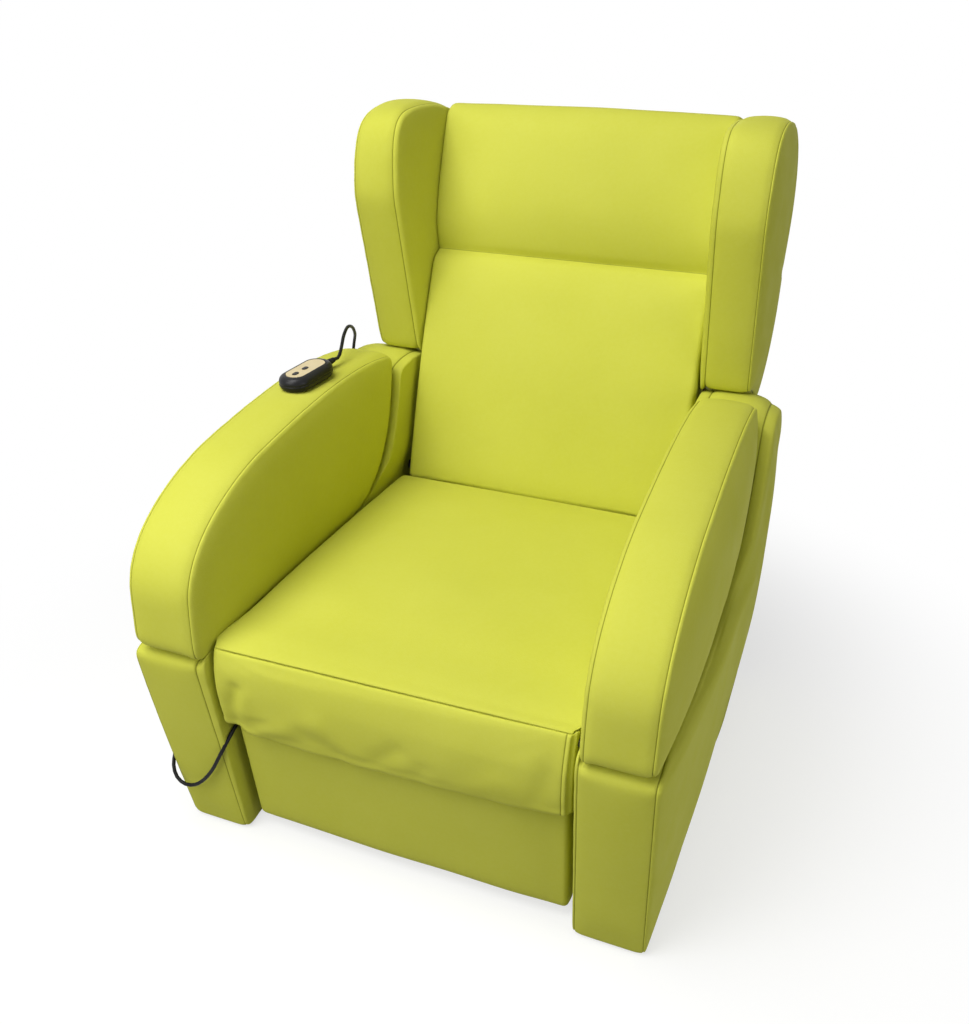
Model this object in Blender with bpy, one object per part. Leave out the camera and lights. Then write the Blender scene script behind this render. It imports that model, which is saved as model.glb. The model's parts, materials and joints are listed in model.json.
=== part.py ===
"""Electric wing-back recliner with sound transducers behind its upholstery.

Metres, +Z up. The front faces -Y, and left is -X, as seen from the front. Inside the script y is measured back
from the front face of the arm posts. The chair empty then moves the whole over the origin, at the middle of its
footprint on the floor. The backrest, the legrest and their linkage move in planes of constant x.
"""

import math

import bmesh
import bpy
from mathutils import Matrix, Vector

# Fits and common stock
FIT = 0.0003             # gap between pieces that rest on each other
PIN_PLAY = 0.0005        # radial play of a pin in its hole
PLATE = 0.004            # steel plate of the linkage
PLYWOOD = 0.018          # side boards, rails and seat deck
ROUND_SIDES = 20         # facets of a pin or a disc

# Sides: post, rear upright and the boards let into them
SEAT_WIDTH = 0.530
LINK_GAP = 0.023         # between the seat and a side, where the linkage moves
ARM_WIDTH = 0.107
UPRIGHT_BEHIND = 0.080   # rear of the side, behind the backrest hinge
SIDE_BULGE = 0.022       # crown of the padded outer face
SIDE_EDGE = 0.010        # rounding of the padded edges
POST_TOP = 0.383
POST_RAKE = 0.066        # how far the foot of a post stands back from its top
UPRIGHT_TOP = 0.642      # top of the rear upright, over the backrest hinge
GLIDE_HEIGHT = 0.003
GLIDE_RADIUS = 0.016
GLIDE_INSET = 0.060      # from the ends of a side to its glides

# Arm pads
PAD_OVERHANG = 0.010     # in front of the post
PAD_FACE = 0.085         # straight front face below the nose
PAD_NOSE_REACH = 0.200   # from the front of the pad to the end of its nose
PAD_NOSE_TOP = 0.625
PAD_SHORT = 0.004        # rear of the pad, in front of the rear of the seat
PAD_TAIL = 0.225         # length of the rising rear edge
PAD_PROUD = 0.004        # above the rear upright
PAD_SEAM_IN = 0.003      # seams, in from the faces of the side
PAD_SEAM_OUT = 0.016
PAD_BULGE_IN = 0.010     # faces, out from the seams
PAD_BULGE_OUT = 0.018
PAD_CROWN = 0.006

# Seat
SEAT_TOP = 0.398
SEAT_DEPTH = 0.584
SEAT_THICKNESS = 0.089
SEAT_CROWN = 0.010
SEAT_FLARE = 0.018       # how far the top reaches over the linkage on each side
DECK_INSET = 0.020       # front of the deck, behind the front of the cushion

# Backrest, in its own slanted measures: up along its face and back from it
BACK_ANGLE = math.radians(17.3)
BACK_FOOT_GAP = 0.003    # behind the seat cushion
BACK_FOOT_DROP = 0.006   # below the seat top
BACK_LENGTH = 0.710
BACK_CUSHION = 0.098
BACK_CROWN = 0.014
BACK_DRAW = 0.003
BACK_SIDE_GAP = 0.003    # from the cushion to the edge of its board
CHANNEL_AT = 0.440       # sewn channel, up from the foot
CHANNEL_DEPTH = 0.028
CHANNEL_WIDTH = 0.018
BACK_BOARD = 0.015
BACK_DEPTH_LOW = 0.165   # face to rear cover, at the foot and at the top
BACK_DEPTH_TOP = 0.139
BACK_AXIS_BEHIND = 0.058
BACK_AXIS_ABOVE = 0.008
BACK_SWING = math.radians(32)

# Wings
WING_REACH = 0.158       # in front of the backrest face, at the head
WING_HEAD = 0.500        # height of the widest place, up from the foot
WING_RISE = -0.002       # above the top of the cushion
WING_GAP = 0.006         # between the wing and the rear upright
WING_FOOT = 0.022        # foot of the front edge, behind the hinge
WING_TAIL = 0.170        # rear corner, behind the hinge
WING_SWELL = 0.0125      # seam of the wing, out from the linkage
WING_WIDTH = 0.074
WING_BULGE_OUT = 0.020
WING_CROWN = 0.004

# Legrest
LEG_NOSE = 0.026         # radius of the roll round the hinge
LEG_PROUD = 0.019        # front of the skirt, behind the front of the posts
NOSE_GAP = 0.004
SKIRT_BOTTOM = 0.238
SKIRT_BULGE = 0.005
LEG_SETBACK = 0.024      # lower panel, behind the front of the posts
LEG_PANEL = 0.032
LEG_BOTTOM = 0.024
LEG_BOARD = 0.012
LEG_SIDE_GAP = 0.003     # from the upholstery to the edge of the board
LEG_SWING = math.radians(85)

# Linkage and drive
PIN_RADIUS = 0.006
FLANGE_RADIUS = 0.018
FLANGE = 0.003
RIVET_RADIUS = 0.004
BAR_HEIGHT = 0.020
BAR_GAP = 0.002          # between a bar and the plates beside it
LEVER_DROP = 0.190       # rear rivet, below and behind the backrest hinge
LEVER_BACK = 0.020
LUG_DROP = 0.134         # drive lug, below and behind the legrest hinge
LUG_BACK = 0.083
LUG_RADIUS = 0.012
TAIL_GAP = 0.035         # drive tail pin, in front of the rear rail
TAIL_Z = 0.190
TUBE_RADIUS = 0.022
TUBE_FRONT = 0.295       # from the tail pin
TUBE_BACK = 0.028
ROD_RADIUS = 0.010
ROD_PLAY = 0.0007
ROD_INSERT = 0.222
MOTOR_RADIUS = 0.026
MOTOR_LENGTH = 0.090

# Rails, apron and what is fixed to them
FRONT_RAIL_Y = 0.166
REAR_RAIL_INSET = 0.029  # in front of the rear of the seat
RAIL_BOTTOM = 0.040
SHOULDER_TOP = 0.185     # where a rail steps in to let the linkage pass
NECK_INSET = 0.007       # from the side of the seat to the neck of a rail
ROD_SLOT = 0.036
APRON_THICKNESS = 0.018
APRON_INSET = 0.003      # in from the rear of the sides
APRON_BOTTOM = 0.030
APRON_TOP = 0.260
TRANSDUCER_RADIUS = 0.062
TRANSDUCER_HEIGHT = 0.018
INLET_WIDTH = 0.048
INLET_HEIGHT = 0.028
INLET_X = 0.144
INLET_Z = 0.094
INLET_FLANGE = 0.006
INLET_PLATE = 0.0025
AMPLIFIER_WIDTH = 0.055
AMPLIFIER_DEPTH = 0.190
AMPLIFIER_HEIGHT = 0.080
SUPPLY_WIDTH = 0.120
SUPPLY_DEPTH = 0.055
SUPPLY_HEIGHT = 0.060
SUPPLY_INSET = 0.038     # from the neck of the rear rail
CONTROL_WIDTH = 0.050
CONTROL_DEPTH = 0.120
CONTROL_HEIGHT = 0.088
CONTROL_GAP = 0.040      # behind the front rail

# Handset, in its own frame: long side along y, lying on the pad
HANDSET_OUT = 0.044      # out from the inner face of the side, and back from the front
HANDSET_BACK = 0.420
HANDSET_TURN = math.radians(-6.5)
HANDSET_LENGTH = 0.112
HANDSET_WIDTH = 0.056
HANDSET_HEIGHT = 0.026
HANDSET_ROUND = 0.011
FACE_RIM = 0.008
FACE_THICKNESS = 0.002
BUTTON_LENGTH = 0.013
BUTTON_WIDTH = 0.008
BUTTON_HEIGHT = 0.0045
BUTTON_TRAVEL = 0.0015
BUTTON_PROUD = 0.001
BUTTON_PLAY = 0.0003
BUTTON_PITCH = 0.026
BUTTON_SHIFT = -0.014    # middle of the pair, towards the front end
BOOT_LENGTH = 0.022
BOOT_RADIUS = 0.0062

# Handset lead: its points between the boot and the gland, x from the inner face of the left side
CORD_RADIUS = 0.003
CORD_POINTS = 80
CORD_ROUTE = [
    (-0.0375, 0.538, 0.689), (-0.045, 0.559, 0.701), (-0.055, 0.585, 0.7055), (-0.065, 0.614, 0.700),
    (-0.078, 0.647, 0.687), (-0.093, 0.680, 0.667), (-0.106, 0.703, 0.652), (-0.118, 0.719, 0.630),
    (-0.127, 0.728, 0.600), (-0.133, 0.730, 0.562), (-0.137, 0.722, 0.515), (-0.1385, 0.703, 0.464),
    (-0.1385, 0.671, 0.412), (-0.1385, 0.628, 0.361), (-0.138, 0.572, 0.313), (-0.1365, 0.505, 0.271),
    (-0.134, 0.430, 0.236), (-0.1315, 0.350, 0.209), (-0.1285, 0.270, 0.189), (-0.1255, 0.190, 0.173),
    (-0.123, 0.118, 0.157), (-0.12, 0.066, 0.141), (-0.113, 0.039, 0.122), (-0.102, 0.028, 0.105),
    (-0.084, 0.0245, 0.097), (-0.063, 0.024, 0.103), (-0.043, 0.024, 0.121), (-0.024, 0.0235, 0.147),
    (-0.009, 0.0235, 0.175), (0.0025, 0.027, 0.198), (0.008, 0.040, 0.215), (0.009, 0.062, 0.225),
    (0.0095, 0.095, 0.225), (0.0115, 0.138, 0.214),
]
GLAND_RADIUS = 0.007
GLAND_LENGTH = 0.018
GLAND_OUT = 0.016        # in from the inner face of the side
GLAND_Z = 0.205

# Worked out from the sizes above
SIDE_IN = SEAT_WIDTH / 2 + LINK_GAP
SIDE_OUT = SIDE_IN + ARM_WIDTH
SIDE_BASE = GLIDE_HEIGHT + FIT
PAD_FRONT = -PAD_OVERHANG
PAD_BOTTOM = POST_TOP + FIT
LINK_X = SEAT_WIDTH / 2 + 0.0025
BOARD_HALF = LINK_X - FIT
BAR_X = LINK_X + PLATE + BAR_GAP
LEG_AXIS = (LEG_PROUD + LEG_NOSE, SEAT_TOP - LEG_NOSE)
SEAT_FRONT = LEG_AXIS[0] + LEG_NOSE + NOSE_GAP
SEAT_REAR = SEAT_FRONT + SEAT_DEPTH
PAD_REAR = SEAT_REAR - PAD_SHORT
REAR_RAIL_Y = SEAT_REAR - REAR_RAIL_INSET
RAIL_NECK = SEAT_WIDTH / 2 - NECK_INSET
CUSHION_BOTTOM = SEAT_TOP - SEAT_THICKNESS
DECK_TOP = CUSHION_BOTTOM - FIT
DECK_BOTTOM = DECK_TOP - PLYWOOD
RAIL_TOP = DECK_BOTTOM - FIT
RAIL_HALF = SIDE_IN - FIT
BACK_FOOT = (SEAT_REAR + BACK_FOOT_GAP, SEAT_TOP - BACK_FOOT_DROP)
BACK_AXIS = (BACK_FOOT[0] + BACK_AXIS_BEHIND, BACK_FOOT[1] + BACK_AXIS_ABOVE)
SIDE_DEPTH = BACK_AXIS[0] + UPRIGHT_BEHIND
UPRIGHT_RADIUS = UPRIGHT_TOP - BACK_AXIS[1]
LEVER = (BACK_AXIS[0] + LEVER_BACK, BACK_AXIS[1] - LEVER_DROP)
LUG = (LEG_AXIS[0] + LUG_BACK, LEG_AXIS[1] - LUG_DROP)
TAIL = (REAR_RAIL_Y - TAIL_GAP, TAIL_Z)
WING_SEAM_IN = LINK_X + WING_SWELL
GLAND_X = GLAND_OUT - SIDE_IN
SEAT_SIDE = SEAT_WIDTH / 2
BACK_SIDE = BOARD_HALF - BACK_SIDE_GAP
LEG_SIDE = BOARD_HALF - LEG_SIDE_GAP


# Curves in the y-z plane

def bezier(p0, p1, p2, p3, count):
    points = []
    for i in range(count + 1):
        t = i / count
        k = (1 - t) ** 3, 3 * t * (1 - t) ** 2, 3 * t * t * (1 - t), t ** 3
        points.append(tuple(sum(w * p[j] for w, p in zip(k, (p0, p1, p2, p3))) for j in (0, 1)))
    return points


def arc(centre, radius, start, end, count):
    """Angles in degrees, 0 towards the rear and 90 up."""
    angles = [math.radians(start + (end - start) * i / count) for i in range(count + 1)]
    return [(centre[0] + radius * math.cos(a), centre[1] + radius * math.sin(a)) for a in angles]


def line(start, end, count):
    return [tuple(a + (b - a) * i / count for a, b in zip(start, end)) for i in range(count + 1)]


def joined(*curves):
    points = []
    for point in (p for curve in curves for p in curve):
        if not points or math.dist(point, points[-1]) > 1e-5:
            points.append(point)
    if math.dist(points[0], points[-1]) < 1e-5:
        points.pop()
    return points


def rounded(corners, count=3):
    """A closed outline from (y, z, radius) corners."""
    points = []
    for i, (y, z, radius) in enumerate(corners):
        here = Vector((y, z))
        before = (Vector(corners[i - 1][:2]) - here).normalized()
        after = (Vector(corners[(i + 1) % len(corners)][:2]) - here).normalized()
        if radius == 0:
            points.append((y, z))
            continue
        half = before.angle(after) / 2
        reach = radius / math.tan(half)
        ends = here + before * reach, here + after * reach
        middle = here + (before + after).normalized() * (radius / math.sin(half))
        first = math.atan2(*(ends[0] - middle).yx)
        turn = math.atan2(*(ends[1] - middle).yx) - first
        turn = (turn + math.pi) % (2 * math.pi) - math.pi
        points += arc(middle, radius, math.degrees(first), math.degrees(first + turn), count)
    return points


def hull(circles, count=16):
    """The outline round circles given as (y, z, radius)."""
    spots = sorted({p for y, z, r in circles for p in arc((y, z), r, 0, 360 - 360 / count, count - 1)})
    sides = []
    for ordered in (spots, spots[::-1]):
        chain = []
        for p in ordered:
            while len(chain) > 1 and cross(chain[-2], chain[-1], p) <= 0:
                chain.pop()
            chain.append(p)
        sides += chain[:-1]
    return sides


def cross(a, b, c):
    return (b[0] - a[0]) * (c[1] - a[1]) - (b[1] - a[1]) * (c[0] - a[0])


def turned(point, axis, angle):
    """The point after its body has swung open by angle about axis."""
    y, z = point[0] - axis[0], point[1] - axis[1]
    return (axis[0] + y * math.cos(angle) + z * math.sin(angle),
            axis[1] - y * math.sin(angle) + z * math.cos(angle))


# Shared shapes of the chair

def upright_z(y):
    """Top of the rear upright, an arc about the backrest hinge."""
    return BACK_AXIS[1] + math.sqrt(UPRIGHT_RADIUS ** 2 - (y - BACK_AXIS[0]) ** 2)


def back_point(up, behind):
    """A point of the backrest, from its own measures."""
    return (BACK_FOOT[0] + up * math.sin(BACK_ANGLE) + behind * math.cos(BACK_ANGLE),
            BACK_FOOT[1] + up * math.cos(BACK_ANGLE) - behind * math.sin(BACK_ANGLE))


def back_depth(up):
    return BACK_DEPTH_LOW + (BACK_DEPTH_TOP - BACK_DEPTH_LOW) * up / BACK_LENGTH


def leg_face(z):
    """Front of the raked lower panel."""
    return POST_RAKE * (1 - z / POST_TOP) + LEG_SETBACK


def leg_board_front(z):
    return leg_face(z) + LEG_PANEL + FIT


def pad_tail(gap):
    """Rising rear edge of the arm pad, moved back and down by gap for the side under it."""
    rise = upright_z(PAD_REAR) + PAD_PROUD - PAD_BOTTOM
    start = (PAD_REAR - PAD_TAIL, PAD_BOTTOM)
    ends = start, (PAD_REAR - 0.055, PAD_BOTTOM), (PAD_REAR - 0.010, PAD_BOTTOM + 0.53 * rise), (
        PAD_REAR, PAD_BOTTOM + rise)
    return [(y + gap, z - gap) for y, z in bezier(*ends, 8)]


# Materials, meshes and objects

def make_material(name, colour, roughness, metallic=0.0):
    material = bpy.data.materials.new(name)
    material.use_nodes = True
    shader = material.node_tree.nodes["Principled BSDF"]
    shader.inputs["Base Color"].default_value = (*colour, 1)
    shader.inputs["Roughness"].default_value = roughness
    shader.inputs["Metallic"].default_value = metallic
    return material


def add_solid(name, bm, material, carrier, offset=None):
    """One piece from a mesh in the chair's measures, hung on the empty that carries it."""
    bmesh.ops.recalc_face_normals(bm, faces=bm.faces)
    bmesh.ops.translate(bm, verts=bm.verts, vec=-(carrier.location if offset is None else offset))
    mesh = bpy.data.meshes.new(name)
    bm.to_mesh(mesh)
    bm.free()
    mesh.shade_smooth()
    mesh.set_sharp_from_angle(angle=math.radians(35))
    mesh.materials.append(material)
    piece = bpy.data.objects.new(name, mesh)
    bpy.context.scene.collection.objects.link(piece)
    piece.parent = carrier
    return piece


def add_empty(name, location, parent=None):
    empty = bpy.data.objects.new(name, None)
    bpy.context.scene.collection.objects.link(empty)
    empty.location = location
    empty.parent = parent
    return empty


def change(piece, tool, operation):
    """Cuts the tool from the piece, or joins it on."""
    tool.hide_render = True
    tool.display_type = "WIRE"
    modifier = piece.modifiers.new(tool.name, "BOOLEAN")
    modifier.operation = operation
    modifier.object = tool


def bridge(rings):
    """A closed mesh through rings of points, with a face on each end."""
    bm = bmesh.new()
    loops = [[bm.verts.new(p) for p in ring] for ring in rings]
    count = len(loops[0])
    for low, high in zip(loops, loops[1:]):
        for i in range(count):
            j = (i + 1) % count
            bm.faces.new((low[i], low[j], high[j], high[i]))
    bm.faces.new(loops[0])
    bm.faces.new(loops[-1])
    return bm


def prism(outline, x0, x1):
    return bridge([[(x, y, z) for y, z in outline] for x in (x0, x1)])


def upright_prism(outline, y0, y1):
    """An outline of (x, z) points, as thick as y0 to y1."""
    return bridge([[(x, y, z) for x, z in outline] for y in (y0, y1)])


def box(low, high):
    return prism([(low[1], low[2]), (high[1], low[2]), (high[1], high[2]), (low[1], high[2])], low[0], high[0])


def rod(start, end, radius, end_radius=None, sides=ROUND_SIDES):
    start, end = Vector(start), Vector(end)
    across = (end - start).orthogonal().normalized()
    along = (end - start).normalized()
    rings = []
    for middle, r in ((start, radius), (end, radius if end_radius is None else end_radius)):
        spokes = [Matrix.Rotation(2 * math.pi * i / sides, 3, along) @ across for i in range(sides)]
        rings.append([middle + r * spoke for spoke in spokes])
    return bridge(rings)


def inset_ring(outline, inset, scale, centre):
    """The outline moved in by inset and drawn towards centre. A third value in a point weighs an outward move."""
    area = sum(cross((0, 0), p, q) for p, q in zip(outline, outline[1:] + outline[:1]))
    way = 1 if area > 0 else -1
    ring = []
    for i, point in enumerate(outline):
        here = Vector(point[:2])
        before = (here - Vector(outline[i - 1][:2])).normalized()
        after = (Vector(outline[(i + 1) % len(outline)][:2]) - here).normalized()
        normal = way * Vector((before.y + after.y, -before.x - after.x)).normalized()
        weight = point[2] if len(point) > 2 and inset < 0 else 1
        moved = here - normal * inset * weight
        ring.append(tuple(Vector(centre) + (moved - Vector(centre)) * scale))
    return ring


def loft(outline, stations, centre, place):
    """A pad through (position, inset, scale) stations. place turns (a, b, position) into a point."""
    rings = []
    for position, inset, scale in stations:
        rings.append([place(a, b, position) for a, b in inset_ring(outline, inset, scale, centre)])
    return bridge(rings)


def round_edge(edge):
    """(depth, inset) steps of a rounded edge, from the face to the side."""
    return [(edge * t, edge * (1 - math.sqrt(1 - (1 - t) ** 2))) for t in (0.0, 0.12, 0.42, 1.0)]


def face_rings(x, bulge, way):
    """A face that swells out from a seam at x, from its middle to the seam."""
    steps = (0.25, 0.55, 0.8, 0.94)
    return [(x + way * bulge * (1 - s ** 3) / (1 - steps[0] ** 3), s) for s in steps]


def pad_stations(x0, x1, edge, crown, bulge0, bulge1):
    near = [(x0 + d, i, 1.0) for d, i in round_edge(edge)]
    far = [(x1 - d, i, 1.0) for d, i in round_edge(edge)]
    first = [(x, edge, s) for x, s in face_rings(x0, bulge0, -1)] if bulge0 else []
    last = [(x, edge, s) for x, s in face_rings(x1, bulge1, 1)] if bulge1 else []
    return first + near + [((x0 + x1) / 2, -crown, 1.0)] + far[::-1] + last[::-1]


def cushion_stations(half, edge, crown):
    near = [(-half + d, i, 1.0) for d, i in round_edge(edge)]
    across = [(t * (half - edge), -crown * (1 - t * t), 1.0) for t in (-0.8, -0.45, 0.0, 0.45, 0.8)]
    far = [(half - d, i, 1.0) for d, i in round_edge(edge)]
    return near + across + far[::-1]


# Sub-assemblies

def make_sides(chair, finish):
    top = [(max(y, 0.0), z) for y, z in pad_tail(FIT)]
    rear = math.degrees(math.acos((SIDE_DEPTH - 0.030 - BACK_AXIS[0]) / UPRIGHT_RADIUS))
    front = math.degrees(math.acos((PAD_REAR + FIT - BACK_AXIS[0]) / UPRIGHT_RADIUS))
    foot = POST_RAKE * (1 - SIDE_BASE / POST_TOP)
    outline = joined(
        arc((foot + 0.014, SIDE_BASE + 0.014), 0.014, 270, 190, 3),
        line((foot * 0.66, POST_TOP * 0.35), (foot * 0.33, POST_TOP * 0.67), 1),
        arc((0.018, POST_TOP - 0.016), 0.016, 170, 90, 3),
        line((0.060, POST_TOP), (PAD_REAR - PAD_TAIL, POST_TOP), 2),
        top[1:-1],
        arc(BACK_AXIS, UPRIGHT_RADIUS, front, rear, 4),
        arc((SIDE_DEPTH - 0.030, upright_z(SIDE_DEPTH - 0.030) - 0.030), 0.030, 60, 0, 2),
        line((SIDE_DEPTH, POST_TOP), (SIDE_DEPTH, SIDE_BASE), 2),
        line((SIDE_DEPTH * 0.66, SIDE_BASE), (SIDE_DEPTH * 0.33, SIDE_BASE), 1),
    )
    stations = pad_stations(SIDE_IN, SIDE_OUT, SIDE_EDGE, 0.0, 0, SIDE_BULGE)
    middle = (0.89 * SIDE_DEPTH, 0.90 * POST_TOP)
    board = [(0.12, 0.04), (SIDE_DEPTH - 0.035, 0.04), (SIDE_DEPTH - 0.035, BACK_AXIS[1] + 0.023),
             (BACK_AXIS[0] - 0.025, BACK_AXIS[1] + 0.023), (BACK_AXIS[0] - 0.080, POST_TOP - 0.025),
             (0.12, POST_TOP - 0.025)]
    pocket = inset_ring(board, -FIT, 1.0, (0, 0))
    for side, word in ((-1, "left"), (1, "right")):
        panel = add_solid("side_panel_" + word,
                          loft(outline, stations, middle, lambda y, z, x: (side * x, y, z)),
                          finish["leatherette"], chair)
        cutter = add_solid("pocket_" + word, prism(pocket, side * (SIDE_IN - 0.01), side * (SIDE_IN + PLYWOOD + FIT)),
                           finish["plywood"], chair)
        change(panel, cutter, "DIFFERENCE")
        add_solid("side_board_" + word, prism(board, side * SIDE_IN, side * (SIDE_IN + PLYWOOD)),
                  finish["plywood"], chair)
        for end, y in (("front", foot + GLIDE_INSET), ("rear", SIDE_DEPTH - GLIDE_INSET)):
            x = side * (SIDE_IN + SIDE_OUT) / 2
            add_solid(f"glide_{end}_{word}", rod((x, y, 0), (x, y, GLIDE_HEIGHT), GLIDE_RADIUS * 0.85, GLIDE_RADIUS),
                      finish["black_plastic"], chair)


def pad_outline():
    nose_low = (PAD_FRONT + 0.006, PAD_BOTTOM + PAD_FACE)
    nose_high = (PAD_FRONT + PAD_NOSE_REACH, PAD_NOSE_TOP)
    tail = pad_tail(0)
    crest = bezier(nose_high, (nose_high[0] + 0.14, nose_high[1] + 0.026),
                   (tail[-1][0] - 0.13, tail[-1][1] + 0.031), tail[-1], 8)
    nose = bezier(nose_low, (nose_low[0] + 0.004, nose_low[1] + 0.075),
                  (nose_high[0] - 0.115, nose_high[1] - 0.030), nose_high, 7)
    outline = joined(
        arc((PAD_FRONT + 0.018, PAD_BOTTOM + 0.016), 0.016, 180, 270, 3),
        line((0.15, PAD_BOTTOM), (0.30, PAD_BOTTOM), 1),
        tail,
        crest[::-1],
        nose[::-1],
    )
    return [(*p, 1.0 if p in crest[:-1] + nose else 0.0) for p in outline], crest


def make_arm_pads(chair, finish):
    outline, _ = pad_outline()
    stations = pad_stations(SIDE_IN + PAD_SEAM_IN, SIDE_OUT - PAD_SEAM_OUT, 0.009, PAD_CROWN,
                            PAD_BULGE_IN, PAD_BULGE_OUT)
    middle = (0.55 * PAD_REAR, (PAD_BOTTOM + UPRIGHT_TOP) / 2)
    for side, word in ((-1, "left"), (1, "right")):
        add_solid("arm_pad_" + word, loft(outline, stations, middle, lambda y, z, x: (side * x, y, z)),
                  finish["leatherette"], chair)


def make_seat(chair, finish):
    middle, half = (SEAT_FRONT + SEAT_REAR) / 2, (SEAT_REAR - SEAT_FRONT) / 2
    edge = 0.018
    tops = []
    for y in [SEAT_FRONT + edge * t for t in (0.0, 0.15, 0.5, 1.0)] + [
            SEAT_FRONT + edge + (2 * half - 2 * edge) * i / 9 for i in range(1, 9)] + [
            SEAT_REAR - edge * t for t in (1.0, 0.5, 0.15, 0.0)]:
        near = min(1.0, min(y - SEAT_FRONT, SEAT_REAR - y) / edge)
        corner = edge * (1 - math.sqrt(1 - (1 - near) ** 2))
        crown = 0.006 * (1 - ((y - middle) / half) ** 2)
        tops.append((y, SEAT_TOP - corner + crown, near))
    outline = tops + [(SEAT_REAR, CUSHION_BOTTOM, 0.0), (middle, CUSHION_BOTTOM, 0.0),
                      (SEAT_FRONT, CUSHION_BOTTOM, 0.0)]

    def place(y, z, x):
        back = min(1.0, max(0.0, (y - SEAT_FRONT) / 0.06))
        high = min(1.0, max(0.0, (z - CUSHION_BOTTOM) / (SEAT_THICKNESS - edge)))
        wider = 1 + SEAT_FLARE / SEAT_SIDE * high * back * back * (3 - 2 * back)
        return (x * wider, y, max(z, CUSHION_BOTTOM))

    add_solid("seat_cushion", loft(outline, cushion_stations(SEAT_SIDE, 0.016, SEAT_CROWN), (middle, SEAT_TOP), place),
              finish["leatherette"], chair)
    add_solid("seat_deck", box((-RAIL_NECK, SEAT_FRONT + DECK_INSET, DECK_BOTTOM),
                               (RAIL_NECK, SEAT_REAR - 0.005, DECK_TOP)), finish["plywood"], chair)
    for side, word in ((-1, "left"), (1, "right")):
        x = side * SEAT_WIDTH / 4
        add_solid("seat_transducer_" + word,
                  rod((x, middle, DECK_BOTTOM - FIT), (x, middle, DECK_BOTTOM - FIT - TRANSDUCER_HEIGHT),
                      TRANSDUCER_RADIUS, 0.8 * TRANSDUCER_RADIUS, 28), finish["black_plastic"], chair)


def rail_outline(slot):
    """Across the chair: wide at the foot, stepped in where the linkage passes, with a slot for the drive rod."""
    right = [(RAIL_HALF, RAIL_BOTTOM), (RAIL_HALF, SHOULDER_TOP), (RAIL_NECK, SHOULDER_TOP), (RAIL_NECK, RAIL_TOP)]
    if slot:
        right += [(slot, RAIL_TOP), (slot, SHOULDER_TOP)]
    return right + [(-x, z) for x, z in reversed(right)]


def make_base(chair, finish):
    front = upright_prism(rail_outline(ROD_SLOT), FRONT_RAIL_Y, FRONT_RAIL_Y + PLYWOOD)
    add_solid("front_rail", front, finish["plywood"], chair)
    rear = upright_prism(rail_outline(0), REAR_RAIL_Y, REAR_RAIL_Y + PLYWOOD)
    add_solid("rear_rail", rear, finish["plywood"], chair)
    apron_rear = SIDE_DEPTH - APRON_INSET
    apron_front = apron_rear - APRON_THICKNESS
    apron = add_solid("rear_apron", box((-RAIL_HALF, apron_front, APRON_BOTTOM), (RAIL_HALF, apron_rear, APRON_TOP)),
                      finish["leatherette"], chair)
    low = (INLET_X - INLET_WIDTH / 2, INLET_Z - INLET_HEIGHT / 2)
    high = (INLET_X + INLET_WIDTH / 2, INLET_Z + INLET_HEIGHT / 2)
    hole = add_solid("inlet_hole", box((low[0], apron_front - 0.01, low[1]), (high[0], apron_rear + 0.01, high[1])),
                     finish["black_plastic"], chair)
    change(apron, hole, "DIFFERENCE")
    plate_low, plate_high = [v - INLET_FLANGE for v in low], [v + INLET_FLANGE for v in high]
    inlet = add_solid("power_inlet", box((plate_low[0], apron_rear + FIT, plate_low[1]),
                                         (plate_high[0], apron_rear + FIT + INLET_PLATE, plate_high[1])),
                      finish["black_plastic"], chair)
    body = add_solid("inlet_body", box((low[0] + FIT, apron_front, low[1] + FIT),
                                       (high[0] - FIT, apron_rear + 0.002, high[1] - FIT)),
                     finish["black_plastic"], chair)
    socket = add_solid("inlet_socket", box((low[0] + 0.010, apron_rear - 0.012, low[1] + 0.005),
                                           (high[0] - 0.010, apron_rear + 0.02, high[1] - 0.005)),
                       finish["black_plastic"], chair)
    change(inlet, body, "UNION")
    change(inlet, socket, "DIFFERENCE")
    gland_back = FRONT_RAIL_Y + PLYWOOD + CONTROL_GAP
    low = RAIL_BOTTOM + 0.005
    add_solid("amplifier", box((RAIL_HALF - AMPLIFIER_WIDTH, gland_back, low),
                               (RAIL_HALF, gland_back + AMPLIFIER_DEPTH, low + AMPLIFIER_HEIGHT)), finish["metal"], chair)
    left, wall = SUPPLY_INSET - RAIL_NECK, REAR_RAIL_Y - FIT
    add_solid("power_supply", box((left, wall - SUPPLY_DEPTH, low), (left + SUPPLY_WIDTH, wall, low + SUPPLY_HEIGHT)),
              finish["black_plastic"], chair)
    top = GLAND_Z + 0.023
    add_solid("control_box", box((-RAIL_HALF, gland_back + FIT, top - CONTROL_HEIGHT),
                                 (CONTROL_WIDTH - RAIL_HALF, gland_back + CONTROL_DEPTH, top)),
              finish["black_plastic"], chair)
    add_solid("cord_gland", rod((GLAND_X, gland_back, GLAND_Z), (GLAND_X, gland_back - GLAND_LENGTH, GLAND_Z),
                                GLAND_RADIUS, 0.0045), finish["black_plastic"], chair)
    return (GLAND_X, gland_back - GLAND_LENGTH - 2 * FIT, GLAND_Z)


def make_pins(chair, finish):
    for name, (y, z) in (("leg_pin_", LEG_AXIS), ("back_pin_", BACK_AXIS)):
        for side, word in ((-1, "left"), (1, "right")):
            seat = SIDE_IN - FIT
            pin = add_solid(name + word, rod((side * (LINK_X - 0.001), y, z), (side * (seat - 0.001), y, z), PIN_RADIUS),
                            finish["steel"], chair)
            flange = add_solid(name + "flange_" + word, rod((side * (seat - FLANGE), y, z), (side * seat, y, z),
                                                            FLANGE_RADIUS), finish["steel"], chair)
            change(pin, flange, "UNION")


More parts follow.
